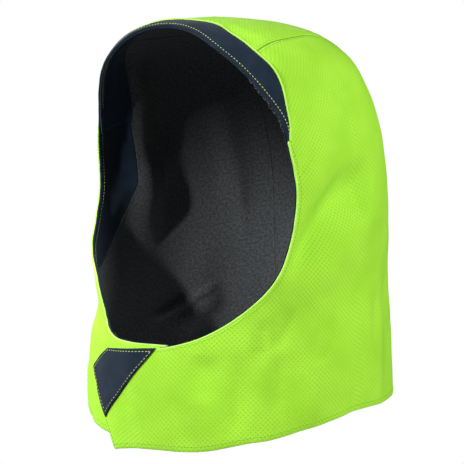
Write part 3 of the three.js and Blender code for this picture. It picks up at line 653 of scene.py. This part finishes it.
def cloth_piece(name, grid, offset, uv, thickness, material, slot, *nodes):
    """A sheet of cloth over a grid of wall points, its outer face pushed out by offset."""
    normal = wall_normal(grid)
    places_in_metres = (grid + normal * offset[..., None]) / METRE
    rows, columns = grid.shape[:2]
    mesh_maker = bmesh.new()
    bmesh.ops.create_grid(mesh_maker, x_segments=columns - 1, y_segments=rows - 1, size=1)
    uv_layer = mesh_maker.loops.layers.uv.new("cloth")
    where = {}
    for vert in mesh_maker.verts:
        i = round((vert.co.x + 1) / 2 * (columns - 1))
        j = round((vert.co.y + 1) / 2 * (rows - 1))
        where[vert] = (j, i)
    for vert, (j, i) in where.items():
        vert.co = places_in_metres[j, i]
    mesh_maker.normal_update()
    for face in mesh_maker.faces:
        face.smooth = True
        for loop in face.loops:
            loop[uv_layer].uv = uv[where[loop.vert]]
    mesh_maker.verts.index_update()
    outward = sum(face.normal.dot(Vector(normal[where[face.verts[0]]]))
                  for face in mesh_maker.faces)
    if outward < 0:
        bmesh.ops.reverse_faces(mesh_maker, faces=mesh_maker.faces[:])
    piece = new_piece(name, mesh_maker, material)
    solid = piece.modifiers.new("thickness", "SOLIDIFY")
    solid.thickness = thickness / METRE
    solid.offset = -1
    if nodes:
        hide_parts(*nodes)
    return piece


def new_group(name, inputs, outputs):
    group = bpy.data.node_groups.new(name, "ShaderNodeTree")
    for socket, kind, value in inputs:
        made = group.interface.new_socket(socket, in_out="INPUT", socket_type=kind)
        if value is not None:
            made.default_value = value
    for socket, kind in outputs:
        group.interface.new_socket(socket, in_out="OUTPUT", socket_type=kind)
    return group, group.nodes.new("NodeGroupInput"), group.nodes.new("NodeGroupOutput")


def math_node(tree, operation, first, second=None):
    node = tree.nodes.new("ShaderNodeMath")
    node.operation = operation
    for socket, value in zip(node.inputs, (first, second)):
        if isinstance(value, (int, float)):
            socket.default_value = value
        elif value is not None:
            tree.links.new(value, socket)
    return node.outputs[0]


def vector_node(tree, operation, first, second=None, scale=None):
    node = tree.nodes.new("ShaderNodeVectorMath")
    node.operation = operation
    tree.links.new(first, node.inputs[0])
    if isinstance(second, tuple):
        node.inputs[1].default_value = second
    elif second is not None:
        tree.links.new(second, node.inputs[1])
    if scale is not None:
        tree.links.new(scale, node.inputs["Scale"])
    return node.outputs["Value" if operation == "LENGTH" else "Vector"]


def ranged(tree, value, low, high, to_low=0.0, to_high=1.0):
    node = tree.nodes.new("ShaderNodeMapRange")
    node.interpolation_type = "SMOOTHSTEP"
    tree.links.new(value, node.inputs["Value"])
    for socket, number in (("From Min", low), ("From Max", high),
                           ("To Min", to_low), ("To Max", to_high)):
        if isinstance(number, (int, float)):
            node.inputs[socket].default_value = number
        else:
            tree.links.new(number, node.inputs[socket])
    return node.outputs["Result"]


def mixed(tree, factor, first, second):
    """A colour between two others, each a plain colour or a socket."""
    node = tree.nodes.new("ShaderNodeMix")
    node.data_type = "RGBA"
    tree.links.new(factor, node.inputs["Factor"])
    for socket, colour in (("A", first), ("B", second)):
        if isinstance(colour, tuple):
            node.inputs[socket].default_value = (*colour, 1)
        else:
            tree.links.new(colour, node.inputs[socket])
    return node.outputs["Result"]


# Dots of the knit: two square lattices, one half a step beside the other. A dot's rim
# is soft between these shares of its radius.
DOT_OUTER, DOT_INNER = 1.5, 0.45
dots_group, dots_in, dots_out = new_group(
    "staggered dots",
    [("Vector", "NodeSocketVector", None), ("Pitch", "NodeSocketFloat", 0.0044),
     ("Radius", "NodeSocketFloat", 0.16)],
    [("Mask", "NodeSocketFloat")])
scaled = vector_node(dots_group, "SCALE", dots_in.outputs["Vector"],
                     scale=math_node(dots_group, "DIVIDE", 1.0, dots_in.outputs["Pitch"]))
lengths = []
for shift in ((0.0, 0.0, 0.0), (0.5, 0.5, 0.0)):
    cell = vector_node(dots_group, "FRACTION", vector_node(dots_group, "ADD", scaled, shift))
    cell = vector_node(dots_group, "ADD", cell, (-0.5, -0.5, 0.0))
    lengths.append(vector_node(dots_group, "LENGTH",
                               vector_node(dots_group, "MULTIPLY", cell, (1.0, 1.0, 0.0))))
nearest = math_node(dots_group, "MINIMUM", lengths[0], lengths[1])
outer_rim = math_node(dots_group, "MULTIPLY", dots_in.outputs["Radius"], DOT_OUTER)
dot_mask = ranged(dots_group, nearest, outer_rim,
                  math_node(dots_group, "MULTIPLY", dots_in.outputs["Radius"], DOT_INNER))
dots_group.links.new(dot_mask, dots_out.inputs["Mask"])

# Threads of a plain weave and the cloudiness that handling leaves in cloth
weave_group, weave_in, weave_out = new_group(
    "weave",
    [("Vector", "NodeSocketVector", None), ("Threads", "NodeSocketFloat", 1400.0),
     ("Clouds", "NodeSocketFloat", 45.0)],
    [("Height", "NodeSocketFloat"), ("Clouds", "NodeSocketFloat")])
threads = []
for axis in (0, 1):
    split = weave_group.nodes.new("ShaderNodeSeparateXYZ")
    weave_group.links.new(weave_in.outputs["Vector"], split.inputs[0])
    wave = math_node(weave_group, "MULTIPLY", split.outputs[axis], weave_in.outputs["Threads"])
    threads.append(math_node(weave_group, "SINE",
                             math_node(weave_group, "MULTIPLY", wave, 2 * math.pi)))
crossed = math_node(weave_group, "MULTIPLY", threads[0], threads[1])
cloud = weave_group.nodes.new("ShaderNodeTexNoise")
cloud.inputs["Detail"].default_value = 4
weave_group.links.new(weave_in.outputs["Vector"], cloud.inputs["Vector"])
weave_group.links.new(weave_in.outputs["Clouds"], cloud.inputs["Scale"])
weave_group.links.new(crossed, weave_out.inputs["Height"])
weave_group.links.new(cloud.outputs["Fac"], weave_out.inputs["Clouds"])


# Noise that shows as a cloud, from its first trace to its full shade, and the depth of
# a dot beside the height of a thread
CLOUD_LOW, CLOUD_HIGH, DOT_DEPTH = 0.35, 0.7, -2.0


def cloth_material(name, plain, clouded, roughness, sheen, threads_per_metre, clouds,
                   bump, dots=None):
    """Cloth on its own coordinates: two shades, threads, and dots where it has them."""
    material = bpy.data.materials.new(name)
    material.use_nodes = True
    tree = material.node_tree
    shader = tree.nodes["Principled BSDF"]
    shader.inputs["Roughness"].default_value = roughness
    shader.inputs["Sheen Weight"].default_value = sheen
    shader.inputs["Sheen Roughness"].default_value = 0.5
    shader.inputs["Specular IOR Level"].default_value = 0.15
    uv = tree.nodes.new("ShaderNodeUVMap")
    uv.uv_map = "cloth"
    weave = tree.nodes.new("ShaderNodeGroup")
    weave.node_tree = weave_group
    weave.inputs["Threads"].default_value = threads_per_metre
    weave.inputs["Clouds"].default_value = clouds
    tree.links.new(uv.outputs["UV"], weave.inputs["Vector"])
    cloudiness = ranged(tree, weave.outputs["Clouds"], CLOUD_LOW, CLOUD_HIGH)
    colour, height = mixed(tree, cloudiness, plain, clouded), weave.outputs["Height"]
    if dots:
        pattern = tree.nodes.new("ShaderNodeGroup")
        pattern.node_tree = dots_group
        pattern.inputs["Pitch"].default_value = dots["pitch"]
        pattern.inputs["Radius"].default_value = dots["radius"]
        tree.links.new(uv.outputs["UV"], pattern.inputs["Vector"])
        colour = mixed(tree, pattern.outputs["Mask"], colour, dots["colour"])
        height = math_node(tree, "ADD", height,
                           math_node(tree, "MULTIPLY", pattern.outputs["Mask"], DOT_DEPTH))
    tree.links.new(colour, shader.inputs["Base Color"])
    bumps = tree.nodes.new("ShaderNodeBump")
    bumps.inputs["Distance"].default_value = bump
    bumps.inputs["Strength"].default_value = 0.6
    tree.links.new(height, bumps.inputs["Height"])
    tree.links.new(bumps.outputs["Normal"], shader.inputs["Normal"])
    return material


shell_cloth = cloth_material(
    "yellow-green knit", (0.44, 0.88, 0.056), (0.38, 0.80, 0.04), roughness=0.85, sheen=0.04,
    threads_per_metre=1100, clouds=22, bump=0.00008,
    dots={"pitch": 0.0043, "radius": 0.2, "colour": (0.32, 0.74, 0.028)})

for side, name, shape in ((1, "left", shell_shape), (-1, "right", under_shape)):
    grid = panels[side]
    first, last, low, high = border_distances(grid)
    offset = (shape(grid) + turned_in(first, *EDGE_TURN) + turned_in(last, *SEAM_TURN)
              + turned_in(low, *EDGE_TURN) + turned_in(high, *BRIM_TURN) + pucker(low, last))
    cloth_piece(
        f"side_panel_{name}_cloth", grid, offset, panel_uv(grid, side), SHELL,
        shell_cloth, "shell_cloth", f"side_panel_{name}")


# Crown gusset: one strip of the same knit over the crown and down the back, between
# the side panels. It gives the crown its width. Sewn along both sides.
gusset_steps = close_to_ends(40, [0.008, 0.02])


def gusset_grid():
    rows = row_steps
    left = gusset_seam(rows)
    right = mirrored(left)
    half_count = len(gusset_steps) // 2
    half = gusset_steps[:half_count + 1] * 2
    front_half = brim_seam(1, BRIM_CROSSING * (1 - half))
    front = across_middle(front_half)
    back = hem_between(left[0], right[0], 1)(gusset_steps)
    left[-1], right[-1] = front[0], front[-1]
    u, v = gusset_steps[None, :, None], (rows / ROWS)[:, None, None]
    corners = ((back[0] * (1 - u) + back[-1] * u) * (1 - v)
               + (front[0] * (1 - u) + front[-1] * u) * v)
    return on_wall(left[:, None] * (1 - u) + right[:, None] * u
                   + back[None] * (1 - v) + front[None] * v - corners)


gusset = gusset_grid()
first, last, low, high = border_distances(gusset)
offset = (shell_shape(gusset) + turned_in(first, *SEAM_TURN) + turned_in(last, *SEAM_TURN)
          + turned_in(low, *EDGE_TURN) + turned_in(high, *BRIM_TURN)
          + pucker(low, first) + pucker(low, last))
crown_gusset = cloth_piece("crown_gusset_cloth", gusset, offset, strip_uv(gusset), SHELL,
                           shell_cloth, "shell_cloth", "crown_gusset")


# Brim: a navy twill binding folded over the upper edge of the face opening, sewn on
# from outside. It is full at the forehead and tapers away at the cheeks.
BRIM_COUNT, BRIM_MIDDLE = 90, 5
FOLDED_EDGE, SEWN_EDGE = (0.6, 1.2), (0.8, 1.4)
WAVE_HEIGHT, WAVE_STEP, WAVE_INSET, WAVE_REACH = 0.15, 3.3, 4.0, 6.0


def band_grid(edge, seam, steps):
    """Wall grid of a band over the brow, from its half edge and its half seam."""
    share = steps[None, :, None]
    return on_wall(across_middle(edge)[:, None] * (1 - share)
                   + across_middle(seam)[:, None] * share)


navy_cloth = cloth_material(
    "navy twill", (0.0075, 0.017, 0.033), (0.011, 0.024, 0.042), roughness=0.85, sheen=0.06,
    threads_per_metre=600, clouds=60, bump=0.00012)
brim_half = BRIM_END * np.linspace(1, 0, BRIM_COUNT + 1)
brim = band_grid(edges[1](brim_half), brim_seam(1, brim_half), close_to_ends(10, [0.02, 0.05]))
first, last, low, high = border_distances(brim)
along = np.broadcast_to(low[:, BRIM_MIDDLE:BRIM_MIDDLE + 1], first.shape)
offset = (shell_shape(brim) + turned_in(first, *FOLDED_EDGE) + turned_in(last, *SEWN_EDGE)
          + WAVE_HEIGHT * np.sin(along / WAVE_STEP)
          * np.exp(-np.abs(first - WAVE_INSET) / WAVE_REACH))
brim_piece = cloth_piece("brim_cloth", brim, offset, strip_uv(brim), SHELL, navy_cloth,
                         "navy_cloth", "brim")


# Lining: a soft charcoal knit, cut like the shell but looser, sewn to it only at the
# edges, so it hangs in large folds inside. Its folds are listed as the shell's are.
LINING_FOLDS = [
    [-1, 82, 0.08, 89, 0.56, 0.036, -0.045], [-1, 128, 0.2, 134, 0.5, 0.06, -0.024],
    [-1, 106, 0.8, 128, 0.72, 0.05, -0.03], [-1, 134, 0.42, 138, 0.6, 0.018, -0.007],
    [-1, 95, 0.775, 125, 0.695, 0.013, -0.02], [1, 96, 0.2, 102, 0.54, 0.08, -0.028],
    [1, 122, 0.3, 128, 0.64, 0.08, -0.024], [1, 100, 0.8, 124, 0.74, 0.06, -0.024],
]


def lining_shape(point):
    return shell_shape(point) + fold_height(LINING_FOLDS, point)


def under_lining_shape(point):
    return lining_shape(point) - tuck(point)


LINING_DIP, LINING_DIP_WIDTH = 0.4, 2.0
lining_cloth = cloth_material(
    "charcoal lining", (0.045, 0.049, 0.052), (0.088, 0.094, 0.1), roughness=0.95, sheen=0.08,
    threads_per_metre=900, clouds=420, bump=0.0002)
for side, name, shape in ((1, "left", lining_shape), (-1, "right", under_lining_shape)):
    grid = grids[side][1]
    first, last, _, _ = border_distances(grid)
    offset = shape(grid) - LINING_INSET - LINING_DIP * (
        np.exp(-first / LINING_DIP_WIDTH) + np.exp(-last / LINING_DIP_WIDTH))
    cloth_piece(
        f"lining_{name}_cloth", grid, offset, panel_uv(grid, side), LINING, lining_cloth,
        "lining_cloth", f"lining_{name}")
offset = lining_shape(gusset) - LINING_INSET
lining_gusset = cloth_piece("lining_gusset_cloth", gusset, offset, strip_uv(gusset), LINING,
                            lining_cloth, "lining_cloth", "lining_gusset")


# Facings: a navy band behind the brim that runs on over the lining, wider than the
# brim itself, and navy strips down both sides of the opening, sewn over the lining's
# edge.
TOP_FACING = [[0, 27], [1.5, 29], [3, 38], [4.2, 43], [5.2, 43], [6, 42]]
STEP_RUN = 6.0
band = band_grid(edges[1](brim_half), behind_edge(1, brim_half, table_value(TOP_FACING, brim_half)),
                 close_to_ends(24, [0.01, 0.025]))
brim_width = BRIM_DEPTH * table_value(
    BRIM_TAPER, np.concatenate([brim_half, brim_half[::-1][1:]]))
beyond = border_distances(band)[0] - brim_width[:, None]
step_down = (LINING + LAYER_GAP) * smooth(np.clip(beyond / STEP_RUN + 1, 0, 1))
offset = lining_shape(band) - LINING_INSET - step_down
brim_facing = cloth_piece("brim_facing_cloth", band, offset, strip_uv(band), LINING,
                          navy_cloth, "navy_cloth", "brim_facing")
first_row = int(np.argmin(np.abs(row_steps - THROAT_ROWS)))
for side, name, shape, start in ((1, "left", lining_shape, first_row),
                                 (-1, "right", under_lining_shape, 0)):
    grid = grids[side][0][start:]
    offset = shape(grid) - LINING_INSET
    piece = cloth_piece(f"edge_facing_{name}_cloth", grid, offset, panel_uv(grid, side),
                        LINING, navy_cloth, "navy_cloth", f"edge_facing_{name}")


# Gathered lip: the lining's free edge, which peeps out in small gathers below the brim
# on the wearer's left.
LIP_START, LIP_END, LIP_FADE = 3.3, 5.6, 0.2
LIP, LIP_WIDTH, LIP_GAP = 0.8, 10.0, 0.3
GATHER_DEPTH, GATHERS, GATHER_SWING, GATHER_SHIFT = 0.9, 17.0, 7.3, 0.6
CRIMP_HEIGHT, CRIMPS = 0.5, 40.0
lip_places = np.linspace(LIP_START, LIP_END, 181)
lip_steps = np.linspace(0, 1, 9)
gathers = GATHER_DEPTH * (1 + np.sin(lip_places * GATHERS)
                          * np.sin(lip_places * GATHER_SWING + GATHER_SHIFT))
from_ends = np.minimum(lip_places - LIP_START, LIP_END - lip_places)
gathers *= np.clip(from_ends / LIP_FADE, 0, 1)
lip = np.stack([behind_edge(1, lip_places, LIP_WIDTH * share - gathers * (1 - share))
                for share in lip_steps], axis=1)
crimp = CRIMP_HEIGHT * np.sin(lip_places * CRIMPS)[:, None] * (1 - lip_steps)[None] ** 2
offset = lining_shape(lip) - LINING_INSET - LINING - LIP_GAP + crimp
lining_lip = cloth_piece("lining_lip_cloth", lip, offset, strip_uv(lip), LIP, lining_cloth,
                         "lining_cloth")


# Corner patch: a navy four-sided reinforcement on the flap's upper corner, where a
# hand pulls it open. Sewn round its edge.
PATCH, PATCH_GAP = 1.1, 0.45
PATCH_DIPS, PATCH_DIP_WIDTH = (0.4, 0.5, 0.5, 0.5), 1.0
PATCH_CORNERS = {"inner": (0.16, -0.018), "bottom": (-0.605, 0.725)}
patch_steps = close_to_ends(24, [0.02, 0.05])
patch_corner = {name: front_point(corner) for name, corner in PATCH_CORNERS.items()}
patch = coons(
    straight(flap["left"], flap["top"])(patch_steps),
    straight(patch_corner["bottom"], patch_corner["inner"])(patch_steps),
    straight(flap["left"], patch_corner["bottom"])(patch_steps),
    straight(flap["top"], patch_corner["inner"])(patch_steps), patch_steps, patch_steps)
offset = shell_shape(patch) + PATCH + PATCH_GAP + sum(
    turned_in(distance, dip, PATCH_DIP_WIDTH)
    for distance, dip in zip(border_distances(patch), PATCH_DIPS))
corner_patch = cloth_piece("corner_patch_cloth", patch, offset, panel_uv(patch, 1), PATCH,
                           navy_cloth, "navy_cloth", "corner_patch")


# Closure: a black strip of loop tape sewn behind the flap, which grips its partner on
# the wearer's right panel.
TAPE, TAPE_GAP = 2.0, 0.35
TAPE_LOW, TAPE_HIGH, TAPE_FRONT, TAPE_BACK = 1, 6, 0.25, 0.75
tape_cloth = cloth_material(
    "black loop tape", (0.008, 0.009, 0.01), (0.014, 0.015, 0.017), roughness=0.95, sheen=0.2,
    threads_per_metre=700, clouds=120, bump=0.0003)
rows_kept = (row_steps >= TAPE_LOW) & (row_steps <= TAPE_HIGH)
columns_kept = (margin_steps >= TAPE_FRONT) & (margin_steps <= TAPE_BACK)
tape = grids[1][0][rows_kept][:, columns_kept]
closure_tape = cloth_piece("closure_tape_cloth", tape, shell_shape(tape) - SHELL - TAPE_GAP,
                           panel_uv(tape, 1), TAPE, tape_cloth, "closure", "closure_tape")


# Stitching: yellow-green lockstitch on the navy brim, facings and patch, and olive
# thread on the shell's turned edges, hem, flap and gusset seams.

# Pitch, length and width of the stitches, and how far their rows are from the edges
CONTRAST_STITCH, PATCH_STITCH = (3.1, 2.1, 0.7), (3.8, 2.7, 0.65)
SHELL_STITCH, SEAM_STITCH = (3.1, 2.1, 0.5), (2.0, 2.2, 0.7)
STITCH_LIFT, SEAM_SINK, PLY_SHADE = 0.1, 1.0, 0.75
BRIM_INSET, INSIDE_INSET, EDGE_INSET, HEM_INSET, SEAM_INSET = 3.0, 3.3, 3.5, 4.5, 3.0
PATCH_INSETS, PATCH_CLEAR = (4.2, 2.4, 3.9, 4.4), 3.0
STITCH_START, STITCH_TURN, STITCH_END, RUN_POINTS = 0.02, 5.9, 11.5, 300
TAPER_END, TAPER_RUN, TAPER_LEAST = 6.2, 0.8, 0.3


def thread_material(name, colour):
    """Spun thread, with darker plies along it."""
    material = bpy.data.materials.new(name)
    material.use_nodes = True
    tree = material.node_tree
    shader = tree.nodes["Principled BSDF"]
    shader.inputs["Roughness"].default_value = 0.6
    shader.inputs["Sheen Weight"].default_value = 0.2
    place = tree.nodes.new("ShaderNodeTexCoord")
    noise = tree.nodes.new("ShaderNodeTexNoise")
    noise.inputs["Scale"].default_value = 900
    tree.links.new(place.outputs["Object"], noise.inputs["Vector"])
    darker = tuple(PLY_SHADE * part for part in colour)
    shade = mixed(tree, noise.outputs["Fac"], colour, darker)
    tree.links.new(shade, shader.inputs["Base Color"])
    return material


def stitched(name, rows, pitch, length, width, material, slot):
    """Separate stitches along runs of surface points with their outward directions."""
    mesh_maker = bmesh.new()
    for path, normal in rows:
        steps = np.linalg.norm(np.diff(path, axis=0), axis=1)
        reach = np.concatenate([[0], np.cumsum(steps)])
        for at in np.arange(pitch / 2, reach[-1], pitch):
            ends = [np.array([np.interp(at + way * length / 2, reach, path[:, k])
                              for k in range(3)]) for way in (-1, 1)]
            along = unit(ends[1] - ends[0])
            out = np.array([np.interp(at, reach, normal[:, k]) for k in range(3)])
            out = unit(out - along * out.dot(along))
            beside = np.cross(out, along)
            middle = (ends[0] + ends[1]) / 2
            place = Matrix.Identity(4)
            for k, axis in enumerate((along * length / 2, beside * width / 2, out * width / 2)):
                for row in range(3):
                    place[row][k] = axis[row] / METRE
            for row in range(3):
                place[row][3] = middle[row] / METRE
            bmesh.ops.create_icosphere(mesh_maker, subdivisions=1, radius=1, matrix=place)
    for face in mesh_maker.faces:
        face.smooth = True
    return new_piece(name, mesh_maker, material)


def outside_run(points, shape, lift=STITCH_LIFT):
    """Run on the outer face of the shell, with its outward directions."""
    normal = wall_normal(points)
    return points + normal * (shape(points) + lift)[:, None], normal


def inside_run(points, shape, lift=STITCH_LIFT):
    """Run on the inner face of the lining, with its directions into the hood."""
    normal = wall_normal(points)
    depth = shape(points) - LINING_INSET - LINING - lift
    return points + normal * depth[:, None], -normal


brim_places = np.linspace(STITCH_START, STITCH_TURN, RUN_POINTS)
facing_places = np.linspace(STITCH_TURN, STITCH_END, RUN_POINTS)
taper = np.clip((TAPER_END - brim_places) / TAPER_RUN, TAPER_LEAST, 1)
contrast_rows = []
for side in (1, -1):
    run = behind_edge(side, brim_places, BRIM_INSET * taper)
    contrast_rows.append(outside_run(run, shell_shape))
    run = behind_edge(side, brim_places, INSIDE_INSET)
    contrast_rows.append(inside_run(run, lining_shape))
    run = behind_edge(side, facing_places, INSIDE_INSET)
    contrast_rows.append(inside_run(run, lining_shape if side > 0 else under_lining_shape))
bright_thread = thread_material("pale yellow thread", (0.75, 0.8, 0.2))
stitched("contrast_stitches", contrast_rows, *CONTRAST_STITCH, bright_thread, "shell_cloth")


def inset_runs(grid, distance):
    """Runs a distance inside the first and last column and the low and high row."""
    first, last, low, high = border_distances(grid)
    runs = []
    for gap, by_row in ((first, True), (last, True), (low, False), (high, False)):
        lines = gap if by_row else gap.T
        cells = grid if by_row else np.swapaxes(grid, 0, 1)
        run = []
        for line, cell in zip(lines, cells):
            order = np.argsort(line)
            run.append([np.interp(distance, line[order], cell[order, k]) for k in range(3)])
        runs.append(np.array(run))
    return runs


patch_rows = []
for which, inset in enumerate(PATCH_INSETS):
    run = inset_runs(patch, inset)[which]
    reach = np.concatenate([[0], np.cumsum(np.linalg.norm(np.diff(run, axis=0), axis=1))])
    kept = (reach > PATCH_CLEAR) & (reach < reach[-1] - PATCH_CLEAR)
    patch_rows.append(outside_run(run[kept], shell_shape, PATCH + PATCH_GAP + STITCH_LIFT))
stitched("patch_stitches", patch_rows, *PATCH_STITCH, bright_thread, "shell_cloth")

olive_thread = thread_material("olive thread", (0.2, 0.44, 0.03))
edge_runs = {side: inset_runs(panels[side], EDGE_INSET)[0][2:-1] for side in (1, -1)}
hem_runs = {side: inset_runs(panels[side], HEM_INSET)[2][2:] for side in (1, -1)}
olive_rows = [
    outside_run(edge_runs[1], shell_shape), outside_run(edge_runs[-1], under_shape),
    outside_run(hem_runs[1], shell_shape), outside_run(hem_runs[-1], under_shape),
    outside_run(inset_runs(gusset, HEM_INSET)[2], shell_shape),
    outside_run(inset_runs(panels[1], SEAM_INSET)[1], shell_shape),
    outside_run(inset_runs(panels[-1], SEAM_INSET)[1], shell_shape),
]
stitched("shell_stitches", olive_rows, *SHELL_STITCH, olive_thread, "shell_cloth")
# The gusset seams' stitches are the olive thread painted darker, as painted shade along the seam
# line.
painted_shade_seam_thread = thread_material("olive thread darkened as painted seam shade", (0.17, 0.38, 0.015))
seam_run = gusset_seam(row_steps)
stitched("seam_stitches", [outside_run(run, shell_shape, -SEAM_SINK)
                           for run in (seam_run, mirrored(seam_run))],
         *SEAM_STITCH, painted_shade_seam_thread, "shell_cloth")


# Rolled edge: the shell's seam allowance shows as a thin roll where it meets the brim and round the
# opening, its knit painted lighter than the shell's as a painted highlight along the roll, with the
# navy binding's edge as a darker roll inside.
# A roll is given by its width and height, and by how deep it sits in the cloth.
BRIM_ROLL, OPENING_ROLL, BINDING_ROLL = (2.0, 1.7), (2.0, 2.0), (2.2, 2.0)
OPENING_SINK, BINDING_SINK, BINDING_OUT = 0.8, 1.2, 0.4
ROLL_START, RIGHT_ROLL_END, ROLL_FADE, ROLL_TIP = 5.9, 16.5, 4, 0.05
WOBBLE, WOBBLES = 0.2, 13.0
BUNCH, BUNCHES, BUNCH_PLACE, BUNCH_RUN = 1.1, 8.5, 13.2, 1.2


def roll(name, path, normal, width, height, material, slot):
    """A thin roll of cloth along a run of points."""
    around = 8
    rows = len(path)
    along = unit(np.gradient(path, axis=0))
    beside = unit(np.cross(normal, along))
    angle = np.linspace(0, 2 * math.pi, around + 1)
    ring = (beside[:, None] * (np.cos(angle) * width / 2)[None, :, None]
            + normal[:, None] * (np.sin(angle) * height / 2)[None, :, None])
    fade = np.clip(np.minimum(np.arange(rows), np.arange(rows)[::-1]) / ROLL_FADE, ROLL_TIP, 1)
    points = (path[:, None] + ring * fade[:, None, None]) / METRE
    mesh_maker = bmesh.new()
    bmesh.ops.create_grid(mesh_maker, x_segments=around, y_segments=rows - 1, size=1)
    uv_layer = mesh_maker.loops.layers.uv.new("cloth")
    reach = np.concatenate([[0], np.cumsum(np.linalg.norm(np.diff(path, axis=0), axis=1))])
    where = {vert: (round((vert.co.y + 1) / 2 * (rows - 1)), round((vert.co.x + 1) / 2 * around))
             for vert in mesh_maker.verts}
    for face in mesh_maker.faces:
        face.smooth = True
        for loop in face.loops:
            j, i = where[loop.vert]
            loop[uv_layer].uv = (i * width / around / METRE, reach[j] / METRE)
    for vert, (j, i) in where.items():
        vert.co = points[j, i]
    bmesh.ops.remove_doubles(mesh_maker, verts=mesh_maker.verts[:], dist=1e-7)
    bmesh.ops.holes_fill(mesh_maker, edges=mesh_maker.edges[:], sides=around + 2)
    bmesh.ops.recalc_face_normals(mesh_maker, faces=mesh_maker.faces[:])
    return new_piece(name, mesh_maker, material)


# The roll's knit is the shell's knit painted lighter: a painted highlight along the rolled edge.
painted_highlight_roll_cloth = cloth_material(
    "yellow-green knit edge lightened as painted highlight", (0.52, 0.94, 0.13), (0.46, 0.88, 0.1), roughness=0.7, sheen=0.15,
    threads_per_metre=900, clouds=60, bump=0.0001)
brim_run = across_middle(brim_seam(1, BRIM_END * np.linspace(1, 0, 241)))
path, normal = outside_run(brim_run, shell_shape, lift=0.0)
roll("brim_roll", path, normal, *BRIM_ROLL, painted_highlight_roll_cloth, "shell_cloth")
for side, name, end, shape in ((1, "left", LEFT_END, shell_shape),
                               (-1, "right", RIGHT_ROLL_END, under_shape)):
    at = np.linspace(ROLL_START, end, RUN_POINTS)
    path, normal = outside_run(edges[side](at), shape, -OPENING_SINK)
    roll(f"opening_roll_{name}", path, normal, *OPENING_ROLL, painted_highlight_roll_cloth, "shell_cloth")
    wobble = WOBBLE * np.sin(at * WOBBLES)
    if side < 0:
        wobble += BUNCH * np.sin(at * BUNCHES) * np.exp(-((at - BUNCH_PLACE) / BUNCH_RUN) ** 2)
    path, normal = inside_run(behind_edge(side, at, wobble - BINDING_OUT), shape, -BINDING_SINK)
    roll(f"edge_binding_{name}", path, normal, *BINDING_ROLL, navy_cloth, "navy_cloth")


# Floor, light and background: a white studio. The key stands ahead of the hood, a
# softer light stands on each side, and a narrow one lights the lining below the brim.
FLOOR_RADIUS, FLOOR_HEIGHT = 1.15, -0.75
HOOD_MIDDLE, LINING_TARGET = (0, 0.04, -0.19), (-0.07, 0.14, -0.24)
AMBIENT, BACKDROP = 0.06, 1.0
floor_maker = bmesh.new()
bmesh.ops.create_circle(floor_maker, cap_ends=True, segments=64, radius=FLOOR_RADIUS)
for vert in floor_maker.verts:
    vert.co.z = FLOOR_HEIGHT
floor_mesh = bpy.data.meshes.new("floor")
floor_maker.to_mesh(floor_mesh)
floor_maker.free()
floor = bpy.data.objects.new("floor", floor_mesh)
bpy.context.collection.objects.link(floor)
floor_material = bpy.data.materials.new("pale floor")
floor_material.use_nodes = True
floor_shader = floor_material.node_tree.nodes["Principled BSDF"]
floor_shader.inputs["Base Color"].default_value = (0.3, 0.3, 0.3, 1)
floor_shader.inputs["Roughness"].default_value = 1.0
floor_shader.inputs["Specular IOR Level"].default_value = 0.0
floor_mesh.materials.append(floor_material)


def stand_lamp(name, light, place, target):
    """Stands a lamp at a place, turned to a target."""
    lamp = bpy.data.objects.new(name, light)
    lamp.location = place
    way = Vector(target) - lamp.location
    lamp.rotation_euler = way.to_track_quat("-Z", "Y").to_euler()
    bpy.context.collection.objects.link(lamp)


for name, place, size, power in (
        ("key", (-0.63, -1.57, 0.8), 0.4, 40), ("right", (-1.84, -0.3, 0.33), 1.0, 20),
        ("left", (1.79, 0.03, 0.53), 0.6, 31)):
    light = bpy.data.lights.new(name, "AREA")
    light.shape = "DISK"
    light.size = size
    light.energy = power
    stand_lamp(name, light, place, HOOD_MIDDLE)

spot = bpy.data.lights.new("inner", "SPOT")
spot.energy = 150
spot.spot_size = math.radians(8.2)
spot.spot_blend = 1.0
spot.shadow_soft_size = 0.05
stand_lamp("inner", spot, (0.15, -1.74, 0.38), LINING_TARGET)

world = bpy.data.worlds.new("white studio")
world.use_nodes = True
sky = world.node_tree.nodes["Background"]
sky.inputs["Color"].default_value = (1, 1, 1, 1)
rays = world.node_tree.nodes.new("ShaderNodeLightPath")
strength = ranged(world.node_tree, rays.outputs["Is Camera Ray"], 0, 1, AMBIENT, BACKDROP)
world.node_tree.links.new(strength, sky.inputs["Strength"])
bpy.context.scene.world = world
bpy.context.scene.view_settings.view_transform = "Standard"
